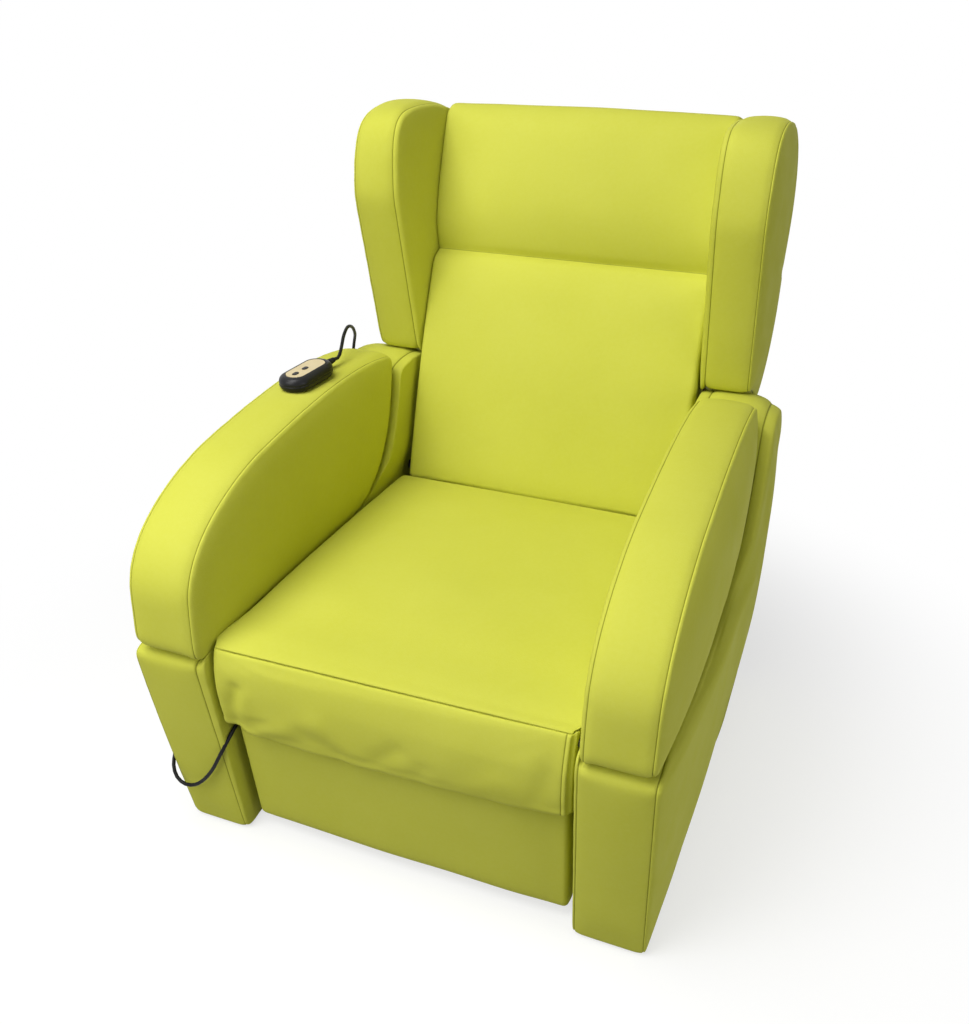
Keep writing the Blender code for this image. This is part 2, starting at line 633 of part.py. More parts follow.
def add_plate(name, outline, x0, x1, material, carrier, holes, stubs=()):
    """A link plate with (y, z, radius) holes and (y, z, radius, end x) stubs."""
    piece = add_solid(name, prism(outline, x0, x1), material, carrier)
    way = 1 if x1 > x0 else -1
    for i, (y, z, radius) in enumerate(holes):
        cutter = rod((x0 - way * 0.01, y, z), (x1 + way * 0.01, y, z), radius)
        change(piece, add_solid(f"{name}_hole{i}", cutter, material, carrier), "DIFFERENCE")
    for i, (y, z, radius, end) in enumerate(stubs):
        stub = rod((x0 + way * 0.001, y, z), (end, y, z), radius)
        change(piece, add_solid(f"{name}_stub{i}", stub, material, carrier), "UNION")
    return piece


def face_profile():
    """The cushion's face, as (up, behind): crowned, with a channel sewn across it and rounded ends."""
    foot_round, head_round = 0.028, 0.036
    ups = [foot_round * t for t in (0.0, 0.15, 0.5, 1.0)]
    ups += [foot_round + (CHANNEL_AT - 0.05 - foot_round) * i / 6 for i in range(1, 7)]
    ups += [CHANNEL_AT + CHANNEL_WIDTH * t for t in (-1.6, -0.9, -0.4, 0.0, 0.4, 0.9, 1.6)]
    ups += [CHANNEL_AT + 0.05 + (BACK_LENGTH - head_round - CHANNEL_AT - 0.05) * i / 4 for i in range(4)]
    ups += [BACK_LENGTH - head_round * t for t in (1.0, 0.5, 0.15, 0.0)]
    profile = []
    for up in ups:
        low, high = (0.0, CHANNEL_AT) if up < CHANNEL_AT else (CHANNEL_AT, BACK_LENGTH)
        t = 2 * (up - low) / (high - low) - 1
        behind = CHANNEL_DEPTH * math.exp(-((up - CHANNEL_AT) / CHANNEL_WIDTH) ** 2) - BACK_CROWN * (1 - t * t)
        for end, size in ((up, foot_round), (BACK_LENGTH - up, head_round)):
            if end < size:
                behind += size - math.sqrt(size * size - (size - end) ** 2)
        profile.append((up, behind))
    return profile


def make_back(back, finish):
    face = [(*back_point(up, behind), 1.0) for up, behind in face_profile()]
    rear = [(*back_point(up, BACK_CUSHION), 0.0) for up in (BACK_LENGTH, 0.7 * BACK_LENGTH, 0.35 * BACK_LENGTH, 0.0)]

    def place(y, z, x):
        up = (y - BACK_FOOT[0]) * math.sin(BACK_ANGLE) + (z - BACK_FOOT[1]) * math.cos(BACK_ANGLE)
        return (x * (1 - BACK_DRAW / BACK_SIDE * (1 - (2 * up / BACK_LENGTH - 1) ** 2)), y, z)

    centre = back_point(BACK_LENGTH / 2, BACK_CUSHION / 2)
    add_solid("back_cushion", loft(face + rear, cushion_stations(BACK_SIDE, 0.016, 0.006), centre, place),
              finish["leatherette"], back)
    board_front, board_rear = BACK_CUSHION + FIT, BACK_CUSHION + FIT + BACK_BOARD
    board_ends = (0.012, BACK_LENGTH - 0.012)
    board = [back_point(board_ends[0], board_front), back_point(board_ends[1], board_front),
             back_point(board_ends[1], board_rear), back_point(board_ends[0], board_rear)]
    add_solid("back_board", prism(board, -BOARD_HALF, BOARD_HALF), finish["plywood"], back)

    cover_front = board_rear + FIT
    cover = joined([back_point(board_ends[0], cover_front), back_point(BACK_LENGTH, cover_front)],
                   [back_point(BACK_LENGTH, 0.4 * cover_front + 0.6 * back_depth(BACK_LENGTH)),
                    back_point(BACK_LENGTH - 0.02, back_depth(BACK_LENGTH))],
                   [back_point(up, back_depth(up)) for up in (0.66 * BACK_LENGTH, 0.33 * BACK_LENGTH, 0.03)],
                   [back_point(board_ends[0], back_depth(0) - 0.015)])
    cover_piece = add_solid("back_cover", loft(cover, cushion_stations(BOARD_HALF - 0.001, 0.006, 0.0),
                                               back_point(0.35, 0.14), lambda y, z, x: (x, y, z)),
                            finish["leatherette"], back)
    normal = Vector((0, math.cos(BACK_ANGLE), -math.sin(BACK_ANGLE)))
    for word, up in (("lower", 0.28 * BACK_LENGTH), ("upper", 0.65 * BACK_LENGTH)):
        seat = Vector((0, *back_point(up, board_rear + FIT)))
        add_solid("back_transducer_" + word, rod(seat, seat + normal * TRANSDUCER_HEIGHT, TRANSDUCER_RADIUS,
                                                 0.8 * TRANSDUCER_RADIUS, 28), finish["black_plastic"], back)
        hollow = add_solid("cover_hollow_" + word, rod(seat - normal * 0.02, seat + normal * (TRANSDUCER_HEIGHT + 0.001),
                                                       TRANSDUCER_RADIUS + 0.002, None, 28), finish["leatherette"], back)
        change(cover_piece, hollow, "DIFFERENCE")
    for side, word in ((-1, "left"), (1, "right")):
        fixings = [(*back_point(up, (board_front + board_rear) / 2), 0.013) for up in (0.06 * BACK_LENGTH, 0.23 * BACK_LENGTH)]
        outline = hull([(*BACK_AXIS, 0.020), (*LEVER, 0.014)] + fixings)
        add_plate("back_plate_" + word, outline, side * LINK_X, side * (LINK_X + PLATE), finish["steel"], back,
                  [(*BACK_AXIS, PIN_RADIUS + PIN_PLAY)], [(*LEVER, RIVET_RADIUS, side * (BAR_X + PLATE + 0.0015))])


def wing_outline():
    radius = UPRIGHT_RADIUS + WING_GAP
    top = BACK_LENGTH + WING_RISE
    start = math.degrees(math.acos(WING_FOOT / radius))
    end = math.degrees(math.acos(WING_TAIL / radius))
    sole = arc(BACK_AXIS, radius, end, start, 6)
    head = back_point(WING_HEAD, -WING_REACH)
    nose_end = back_point(top - 0.020, -0.070)
    lift = Vector((0, 1))
    nose = bezier(head, tuple(Vector(head) + 0.075 * lift), (nose_end[0] - 0.075, nose_end[1] - 0.004), nose_end, 7)
    crest = bezier(nose_end, (nose_end[0] + 0.05, nose_end[1] + 0.006), back_point(top, 0.02), back_point(top - 0.002, 0.06), 3)
    rear_top = back_point(top - 0.065, back_depth(top))
    corner = bezier(crest[-1], back_point(top - 0.004, 0.115), back_point(top - 0.015, back_depth(top)), rear_top, 5)
    return joined(sole, line(sole[-1], head, 5), nose, crest, corner, line(rear_top, sole[0], 4))


def make_wings(back, finish):
    outline = wing_outline()
    stations = pad_stations(WING_SEAM_IN, WING_SEAM_IN + WING_WIDTH, 0.012, WING_CROWN,
                            WING_SEAM_IN - BOARD_HALF - FIT, WING_BULGE_OUT)
    centre = back_point(0.47, BACK_CUSHION + BACK_BOARD / 2)
    for side, word in ((-1, "left"), (1, "right")):
        add_solid("wing_" + word, loft(outline, stations, centre, lambda y, z, x: (side * x, y, z)),
                  finish["leatherette"], back)


def make_legrest(legrest, finish):
    board_top = DECK_TOP - 0.014
    heights = [SKIRT_BOTTOM + 0.012 + (LEG_AXIS[1] - SKIRT_BOTTOM - 0.012) * i / 5 for i in range(6)]
    front = []
    for z in heights[::-1]:
        t = (z - SKIRT_BOTTOM) / (LEG_AXIS[1] - SKIRT_BOTTOM)
        front.append((LEG_PROUD - SKIRT_BULGE * math.sin(math.pi * t), z))
    rear_low = leg_board_front(SKIRT_BOTTOM) - FIT
    skirt = joined(
        [(LEG_AXIS[0] + LEG_NOSE, LEG_AXIS[1] - 0.02)],
        arc(LEG_AXIS, LEG_NOSE, 0, 180, 10),
        front,
        arc((LEG_PROUD + 0.012, SKIRT_BOTTOM + 0.012), 0.012, 180, 270, 3),
        [(rear_low, SKIRT_BOTTOM)],
        [(leg_board_front(board_top) - FIT, board_top)],
    )
    add_solid("legrest_skirt", loft(skirt, cushion_stations(LEG_SIDE, 0.008, 0.0), (0.045, 0.31),
                                    lambda y, z, x: (x, y, z)), finish["leatherette"], legrest)
    panel_top = SKIRT_BOTTOM - 0.002
    panel = rounded([(leg_face(LEG_BOTTOM), LEG_BOTTOM, 0.011), (leg_face(LEG_BOTTOM) + LEG_PANEL, LEG_BOTTOM, 0),
                     (leg_face(panel_top) + LEG_PANEL, panel_top, 0), (leg_face(panel_top), panel_top, 0.011)])
    panel = [(y, z, 1.0 if y < leg_face(z) + 0.010 else 0.0) for y, z in panel]
    add_solid("legrest_panel", loft(panel, cushion_stations(LEG_SIDE, 0.008, 0.004), (0.08, 0.13),
                                    lambda y, z, x: (x, y, z)), finish["leatherette"], legrest)
    low = LEG_BOTTOM + 0.006
    board = [(leg_board_front(low), low), (leg_board_front(low) + LEG_BOARD, low),
             (leg_board_front(board_top) + LEG_BOARD, board_top), (leg_board_front(board_top), board_top)]
    add_solid("legrest_board", prism(board, -BOARD_HALF, BOARD_HALF), finish["plywood"], legrest)
    rivet = sync_ends()[0]
    for side, word in ((-1, "left"), (1, "right")):
        fixings = [(leg_board_front(z) + LEG_BOARD / 2, z, 0.012) for z in (0.250, 0.120)]
        outline = hull([(*LEG_AXIS, 0.015), (*rivet, 0.011)] + fixings)
        add_plate("legrest_arm_" + word, outline, side * LINK_X, side * (LINK_X + PLATE), finish["steel"], legrest,
                  [(*LEG_AXIS, PIN_RADIUS + PIN_PLAY)], [(*rivet, RIVET_RADIUS, side * (BAR_X - 0.0005))])
    rear = [(leg_board_front(z) + LEG_BOARD + FIT, z) for z in (0.195, 0.285)]
    lug = hull([(*LUG, LUG_RADIUS)] + [(y + 0.0002, z, 0.0002) for y, z in rear])
    add_plate("legrest_lug", lug, LUG_RADIUS, LUG_RADIUS + 0.006, finish["steel"], legrest, [(*LUG, 0.0055)])


def sync_ends():
    """Rest places of a sync bar's front and rear rivets. Its shift is the same at both when the chair is open."""
    opened = turned(LEVER, BACK_AXIS, BACK_SWING)
    shift = Vector(opened) - Vector(LEVER)
    radius = shift.length / (2 * math.sin(LEG_SWING / 2))
    lean = LEG_SWING / 2 + math.atan2(shift.y, shift.x) - math.pi
    while lean < 0:
        lean += 2 * math.pi
    front = (LEG_AXIS[0] + radius * math.sin(lean), LEG_AXIS[1] - radius * math.cos(lean))
    return front, LEVER


def make_sync_bars(links, finish):
    front, rear = sync_ends()
    for side, word in ((-1, "left"), (1, "right")):
        outline = hull([(*front, BAR_HEIGHT / 2), (*rear, BAR_HEIGHT / 2)])
        add_plate("sync_bar_" + word, outline, side * BAR_X, side * (BAR_X + PLATE), finish["steel"], links,
                  [(*front, RIVET_RADIUS + PIN_PLAY), (*rear, RIVET_RADIUS + PIN_PLAY)])


def make_drive(chair, drive, piston, finish):
    along = Vector((0, LUG[0] - TAIL[0], LUG[1] - TAIL[1])).normalized()
    tail = Vector((0, *TAIL))
    lug = Vector((0, *LUG))

    def at(distance):
        return tail + along * distance

    tube = add_solid("actuator_tube", rod(at(TUBE_BACK), at(TUBE_FRONT), TUBE_RADIUS), finish["black_plastic"], drive)
    bore = add_solid("actuator_bore", rod(at(TUBE_FRONT - ROD_INSERT - 0.004), at(TUBE_FRONT + 0.01), ROD_RADIUS + ROD_PLAY),
                     finish["steel"], drive)
    change(tube, bore, "DIFFERENCE")
    eye_outline = hull([(*TAIL, 0.012), (*at(TUBE_BACK + 0.004).yz, 0.012)])
    eye = add_solid("actuator_eye", prism(eye_outline, -0.008, 0.008), finish["steel"], drive)
    change(tube, eye, "UNION")
    eye_hole = add_solid("actuator_eye_hole", rod((-0.02, *TAIL), (0.02, *TAIL), 0.005 + PIN_PLAY), finish["steel"], drive)
    change(tube, eye_hole, "DIFFERENCE")
    motor_at = at(TUBE_BACK + 0.045)
    start = motor_at + Vector((TUBE_RADIUS + FIT, 0, 0))
    add_solid("actuator_motor", rod(start, start + Vector((MOTOR_LENGTH, 0, 0)), MOTOR_RADIUS), finish["black_plastic"], drive)

    shaft = add_solid("actuator_rod", rod(at(TUBE_FRONT - ROD_INSERT), lug - along * 0.004, ROD_RADIUS), finish["steel"], piston)
    head = add_solid("rod_head", prism(hull([(*LUG, LUG_RADIUS - 0.001)]), -0.007, 0.007), finish["steel"], piston)
    change(shaft, head, "UNION")
    pin = add_solid("rod_pin", rod((0, *LUG), (LUG_RADIUS - 0.0005, *LUG), 0.005), finish["steel"], piston)
    change(shaft, pin, "UNION")

    wall = REAR_RAIL_Y - FIT
    bracket = add_solid("actuator_bracket", box((-0.030, wall - 0.004, TAIL_Z - 0.022), (0.030, wall, TAIL_Z + 0.022)),
                        finish["steel"], chair)
    for side, word in ((-1, "left"), (1, "right")):
        cheek = hull([(*TAIL, 0.012), (wall - 0.003, TAIL_Z - 0.018, 0.002), (wall - 0.003, TAIL_Z + 0.018, 0.002)])
        ear = add_solid("bracket_ear_" + word, prism(cheek, side * 0.0095, side * 0.0135), finish["steel"], chair)
        change(bracket, ear, "UNION")
    ear_hole = add_solid("bracket_hole", rod((-0.04, *TAIL), (0.04, *TAIL), 0.005 + PIN_PLAY), finish["steel"], chair)
    change(bracket, ear_hole, "DIFFERENCE")
    add_solid("actuator_pin", rod((-0.017, *TAIL), (0.017, *TAIL), 0.005), finish["steel"], chair)


def stadium(length, width, count=8):
    """A long oval in the handset's plane, as (x, y) points."""
    run = (length - width) / 2
    front = [(width / 2 * math.cos(a), -run + width / 2 * math.sin(a))
             for a in [math.pi + math.pi * i / count for i in range(count + 1)]]
    return front + [(-x, -y) for x, y in front]


def make_handset(handset, buttons, finish):
    here = Vector((0, 0, 0))

    def oval(length, width, low, high, edge, material, name, carrier, y=0.0):
        steps = round_edge(edge) if edge else [(0.0, 0.0)]
        stations = [(low + d, i, 1.0) for d, i in steps] + [(high - d, i, 1.0) for d, i in steps[::-1]]
        ring = [(a, b + y) for a, b in stadium(length, width)]
        return add_solid(name, loft(ring, stations, (0, y), lambda a, b, c: (a, b, c)), material, carrier, here)

    black, top = finish["black_plastic"], HANDSET_HEIGHT
    shell = oval(HANDSET_LENGTH, HANDSET_WIDTH, 0, top, HANDSET_ROUND, black, "handset_shell", handset)
    inner = (HANDSET_LENGTH - 2 * FACE_RIM - HANDSET_ROUND, HANDSET_WIDTH - 2 * FACE_RIM - HANDSET_ROUND / 2)
    seat = top - FACE_THICKNESS
    change(shell, oval(inner[0] + 2 * FIT, inner[1] + 2 * FIT, seat - FIT, top + 0.01, 0, black, "face_seat", handset),
           "DIFFERENCE")
    face = oval(*inner, seat, top, 0, finish["beige_plastic"], "handset_face", handset)
    for way, name in ((1, "button_up"), (-1, "button_down")):
        y = BUTTON_SHIFT + way * BUTTON_PITCH / 2
        play = 2 * BUTTON_PLAY
        well = top + BUTTON_PROUD - BUTTON_HEIGHT - BUTTON_TRAVEL - BUTTON_PLAY
        for piece, word in ((shell, "well"), (face, "hole")):
            change(piece, oval(BUTTON_LENGTH + play, BUTTON_WIDTH + play, well, top + 0.01, 0, black,
                               f"{name}_{word}", handset, y), "DIFFERENCE")
        oval(BUTTON_LENGTH, BUTTON_WIDTH, top + BUTTON_PROUD - BUTTON_HEIGHT, top + BUTTON_PROUD, 0.0008,
             finish["black_plastic"], name, buttons[name], y)
    axis_z = HANDSET_HEIGHT / 2
    root = HANDSET_LENGTH / 2 + FIT
    add_solid("handset_boot", rod((0, root, axis_z), (0, root + BOOT_LENGTH, axis_z), BOOT_RADIUS, 0.0042), black, handset, here)
    return Vector((0, root + BOOT_LENGTH + 2 * FIT, axis_z))


def smooth_route(points, count):
    """Evenly spaced points on a Catmull-Rom curve through points."""
    ends = [points[0] * 2 - points[1]] + points + [points[-1] * 2 - points[-2]]
    fine = []
    for a, b, c, d in zip(ends, ends[1:], ends[2:], ends[3:]):
        for i in range(24):
            t = i / 24
            fine.append(0.5 * (2 * b + (c - a) * t + (2 * a - 5 * b + 4 * c - d) * t * t
                               + (3 * b - a - 3 * c + d) * t ** 3))
    fine.append(points[-1])
    lengths = [0.0]
    for a, b in zip(fine, fine[1:]):
        lengths.append(lengths[-1] + (b - a).length)
    route, k = [], 0
    for i in range(count):
        goal = lengths[-1] * i / (count - 1)
        while k < len(fine) - 2 and lengths[k + 1] < goal:
            k += 1
        share = (goal - lengths[k]) / max(lengths[k + 1] - lengths[k], 1e-9)
        route.append(fine[k].lerp(fine[k + 1], share))
    return route, lengths[-1]


def make_cord(chair, start, lead, end, finish):
    """The lead from the handset's boot to the gland, straight out of both for a few diameters."""
    out = start + lead * 0.024
    into = Vector(end) + Vector((0, -0.024, 0))
    points = [start, out] + [Vector((x - SIDE_IN, y, z)) for x, y, z in CORD_ROUTE] + [into, Vector(end)]
    route, length = smooth_route(points, CORD_POINTS)
    curve = bpy.data.curves.new("handset_cord", "CURVE")
    curve.dimensions = "3D"
    curve.bevel_depth = CORD_RADIUS
    curve.bevel_resolution = 2
    curve.use_fill_caps = True
    spline = curve.splines.new("POLY")
    spline.points.add(len(route) - 1)
    for point, place in zip(spline.points, route):
        point.co = (*place, 1)
    curve.materials.append(finish["black_plastic"])
    cord = bpy.data.objects.new("handset_cord", curve)
    bpy.context.scene.collection.objects.link(cord)
    cord.parent = chair
    print(f"handset lead {length:.3f} m")


def centre_on_floor(chair):
    """Moves the chair so that the middle of its footprint, without the lead, is over the origin."""
    bpy.context.view_layer.update()
    shown = [o for o in bpy.data.objects if o.type == "MESH" and not o.hide_render]
    depths = [(o.matrix_world @ v.co).y for o in shown for v in o.data.vertices]
    chair.location.y = -(min(depths) + max(depths)) / 2


def main():
    for old in list(bpy.data.objects):
        bpy.data.objects.remove(old, do_unlink=True)
    finish = {
        "leatherette": make_material("leatherette", (0.56, 0.60, 0.05), 0.45),
        "plywood": make_material("plywood", (0.55, 0.38, 0.20), 0.7),
        "black_plastic": make_material("black_plastic", (0.012, 0.012, 0.013), 0.4),
        "beige_plastic": make_material("beige_plastic", (0.70, 0.58, 0.33), 0.5),
        "steel": make_material("steel", (0.45, 0.45, 0.46), 0.35, 1.0),
        "metal": make_material("metal", (0.10, 0.10, 0.11), 0.5, 0.6),
    }
    chair = add_empty("chair", (0, 0, 0))
    back = add_empty("back_axis", (0, *BACK_AXIS), chair)
    legrest = add_empty("legrest_axis", (0, *LEG_AXIS), chair)
    links = add_empty("link_axis", (0, *LEVER), chair)
    drive = add_empty("drive_axis", (0, *TAIL), chair)
    piston = add_empty("rod_axis", (0, *LUG), chair)
    _, crest = pad_outline()
    y = HANDSET_BACK
    after = next(i for i in range(1, len(crest)) if crest[i][0] > y)
    (y0, z0), (y1, z1) = crest[after - 1], crest[after]
    slope = math.atan2(z1 - z0, y1 - y0)
    rest = z0 + (z1 - z0) * (y - y0) / (y1 - y0) + PAD_CROWN + 2 * FIT
    handset = add_empty("handset", (-SIDE_IN - HANDSET_OUT, y, rest), chair)
    handset.rotation_euler = (slope, 0, HANDSET_TURN)
    buttons = {name: add_empty(name + "_axis", (0, 0, 0), handset) for name in ("button_up", "button_down")}

    make_sides(chair, finish)
    make_arm_pads(chair, finish)
    make_seat(chair, finish)
    gland = make_base(chair, finish)
    make_pins(chair, finish)
    make_back(back, finish)
    make_wings(back, finish)
    make_legrest(legrest, finish)
    make_sync_bars(links, finish)
    make_drive(chair, drive, piston, finish)
    lead = make_handset(handset, buttons, finish)
    bpy.context.view_layer.update()
    turn = handset.matrix_world
    make_cord(chair, turn @ lead, (turn.to_3x3() @ Vector((0, 1, 0))).normalized(), gland, finish)
    centre_on_floor(chair)


main()
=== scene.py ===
"""Looks of the wing-back recliner: upholstery, finishes, handset lead, floor, light and camera.

The shapes are worked out in the chair's measures, as in its source: y back from the front of the posts, z up from
the floor. placed() moves them to the frame.
"""

import json
import math
from types import SimpleNamespace

import bmesh
import bpy
import numpy as np
from mathutils import Matrix, Vector, kdtree, noise


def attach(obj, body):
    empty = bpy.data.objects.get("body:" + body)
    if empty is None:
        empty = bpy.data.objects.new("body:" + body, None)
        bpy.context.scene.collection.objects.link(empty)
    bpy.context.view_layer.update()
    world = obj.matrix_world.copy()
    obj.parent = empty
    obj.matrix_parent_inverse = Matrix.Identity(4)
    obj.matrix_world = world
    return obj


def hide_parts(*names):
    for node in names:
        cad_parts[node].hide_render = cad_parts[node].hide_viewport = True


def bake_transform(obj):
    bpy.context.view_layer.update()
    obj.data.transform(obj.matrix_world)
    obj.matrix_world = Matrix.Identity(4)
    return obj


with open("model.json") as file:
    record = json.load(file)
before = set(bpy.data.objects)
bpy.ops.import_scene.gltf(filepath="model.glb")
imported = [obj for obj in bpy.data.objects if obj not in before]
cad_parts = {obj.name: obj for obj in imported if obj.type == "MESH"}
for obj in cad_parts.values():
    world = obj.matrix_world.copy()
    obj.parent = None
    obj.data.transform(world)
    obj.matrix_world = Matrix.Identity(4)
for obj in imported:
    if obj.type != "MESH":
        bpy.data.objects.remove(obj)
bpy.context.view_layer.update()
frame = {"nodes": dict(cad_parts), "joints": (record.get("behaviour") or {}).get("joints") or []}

# Sizes, most of them as in the source
FIT = 0.0003
SIDE_IN, SIDE_DEPTH, POST_TOP = 0.288, 0.800, 0.383
BACK_AXIS, UPRIGHT_RADIUS = (0.720, 0.400), 0.242
PAD_FRONT, PAD_BOTTOM, PAD_FACE, PAD_NOSE_REACH, PAD_NOSE_TOP = -0.010, 0.3833, 0.085, 0.200, 0.625
PAD_REAR, PAD_TAIL, PAD_PROUD = 0.655, 0.225, 0.004
PAD_SEAMS = (0.291, 0.379)
LEFT_PAD_WIDER = 0.0085
PAD_SAG = 0.0065          # how far a pad's front end hangs below its rest
SEAT_FRONT, SEAT_REAR, SEAT_TOP, SEAT_BOTTOM = 0.075, 0.659, 0.398, 0.309
SEAT_HALF, SEAT_FLARE = 0.265, 0.018
BACK_FOOT, BACK_ANGLE, BACK_LENGTH, BACK_CUSHION = (0.662, 0.392), math.radians(17.3), 0.710, 0.098
BACK_DEPTH_LOW, BACK_DEPTH_TOP, BACK_HALF, BOARD_HALF = 0.165, 0.139, 0.2680, 0.2672
CHANNEL_AT = 0.446
BACK_LOW, BACK_HIGH, BACK_FOOT_ROUND, BACK_TOP_ROUND = -0.004, 0.713, 0.012, 0.034
SKIRT_LEFT, SKIRT_RIGHT, SKIRT_ROUND = -0.2800, 0.2670, 0.011
POST_FOOT = 0.0535       # front of a post at the floor
COVER_BASE = 0.0016      # lower edge of the sides' covers
UPRIGHT_COVER = 0.2274   # top of the upright's cover, from the backrest hinge
WING_SOLE = 0.2282       # lower edge of a wing's cover, from the backrest hinge
WING_SEAMS = (0.280, 0.354)
LEG_AXIS, LEG_HALF, SKIRT_BOTTOM = (0.045, 0.372), 0.2642, 0.238
LEG_SETBACK, LEG_PANEL, LEG_BOTTOM = 0.024, 0.032, 0.024
PANEL_LEFT = 1.0145      # the panel reaches a little further on its left
SEAM_RISE = 0.006        # how far the seat's front seam runs up and back at its right end
APRON, APRON_ROUND = ((0.779, 0.797), (0.030, 0.260)), 0.006
APRON_EDGE = (0.002, 0.005, 0.010)
INLET = ((0.120, 0.168), (0.080, 0.108))
HANDSET_LENGTH, HANDSET_WIDTH, HANDSET_HEIGHT = 0.112, 0.056, 0.026
HANDSET_FACE, BOOT_LENGTH = 0.002, 0.022
BUTTON_HOLE, BUTTONS_AT = (0.0142, 0.0092), (-0.001, -0.027)
HANDSET_PLACE = Matrix((
    (0.99357, 0.11297, -0.00730, -0.33200),
    (-0.11320, 0.99150, -0.06407, 0.42000),
    (0.00000, 0.06448, 0.99792, 0.65862),
    (0, 0, 0, 1),
))
CORD_RADIUS = 0.003
CORD_POINTS, SPAN_STEPS = 160, 24
CORD_STRAIGHT = (0.014, 0.024)  # straight stretches at the handset and at the control box
CORD_ROUTE = [
    (-0.3275, 0.533, 0.688), (-0.335, 0.556, 0.701), (-0.343, 0.584, 0.7075), (-0.353, 0.614, 0.701),
    (-0.366, 0.647, 0.687), (-0.381, 0.680, 0.667), (-0.394, 0.703, 0.652), (-0.406, 0.719, 0.630),
    (-0.415, 0.728, 0.600), (-0.421, 0.730, 0.562), (-0.425, 0.722, 0.515), (-0.4265, 0.703, 0.464),
    (-0.4265, 0.671, 0.412), (-0.4265, 0.628, 0.361), (-0.426, 0.572, 0.313), (-0.4245, 0.505, 0.271),
    (-0.422, 0.430, 0.236), (-0.4195, 0.350, 0.209), (-0.4165, 0.270, 0.189), (-0.4135, 0.190, 0.173),
    (-0.411, 0.118, 0.157), (-0.408, 0.066, 0.141), (-0.401, 0.039, 0.122), (-0.390, 0.028, 0.105),
    (-0.372, 0.0245, 0.097), (-0.351, 0.024, 0.103), (-0.331, 0.024, 0.121), (-0.312, 0.0235, 0.147),
    (-0.297, 0.0235, 0.175), (-0.2855, 0.027, 0.198), (-0.280, 0.040, 0.215), (-0.279, 0.062, 0.225),
    (-0.2785, 0.095, 0.225), (-0.2765, 0.138, 0.214),
]
CORD_END = (-0.272, 0.2054, 0.205)

FRONT = next(j for j in frame["joints"] if j["name"] == "legrest_open")["pos_m"][1] - LEG_AXIS[0]

# Camera, from the photograph
CAMERA_PLACE = (0.519, FRONT - 0.940, 1.221)
CAMERA_AZIMUTH = 20.867
CAMERA_ELEVATION = 27.481
CAMERA_ROLL = 0.85
FOCAL_PIXELS = 985.06
PRINCIPAL_POINT = (490.1, 520.5)
IMAGE = (969, 1024)
SENSOR = 36

# Light
AMBIENT = 0.07
FLOOR_HALF = 8
FLOOR_GREY = (0.36, 0.36, 0.36)
FLOOR_GLOW = 0.68
WHITE_OUT = (0.55, 1.25)  # the floor turns to plain white between these distances from the middle
LAMP_AIM = (0.0, 0.0, 0.4)
LAMPS = (  # name, place, width, watts
    ("ceiling_lamp", (-0.7, -1.4, 4.0), 2.6, 103),
    ("front_lamp", (-0.8, -1.9, 1.8), 1.6, 28),
    ("side_fill", (2.4, -0.6, 0.8), 1.4, 11.5),
)


def add_object(name, data):
    made = bpy.data.objects.new(name, data)
    bpy.context.scene.collection.objects.link(made)
    return made


def new_mesh(name, points, faces):
    mesh = bpy.data.meshes.new(name)
    mesh.from_pydata([tuple(p) for p in points], [], faces)
    return mesh


def make_camera():
    data = bpy.data.cameras.new("camera")
    data.sensor_fit = "HORIZONTAL"
    data.sensor_width = SENSOR
    data.lens = FOCAL_PIXELS * SENSOR / IMAGE[0]
    data.shift_x = (IMAGE[0] / 2 - PRINCIPAL_POINT[0]) / IMAGE[0]
    data.shift_y = (PRINCIPAL_POINT[1] - IMAGE[1] / 2) / IMAGE[0]
    data.clip_start = 0.05
    a, e, r = (math.radians(x) for x in (CAMERA_AZIMUTH, CAMERA_ELEVATION, CAMERA_ROLL))
    turned = Matrix.Rotation(a, 4, "Z") @ Matrix.Rotation(math.pi / 2 - e, 4, "X") @ Matrix.Rotation(r, 4, "Z")
    camera = add_object("camera", data)
    camera.matrix_world = Matrix.Translation(CAMERA_PLACE) @ turned
    bpy.context.scene.camera = camera


# Materials

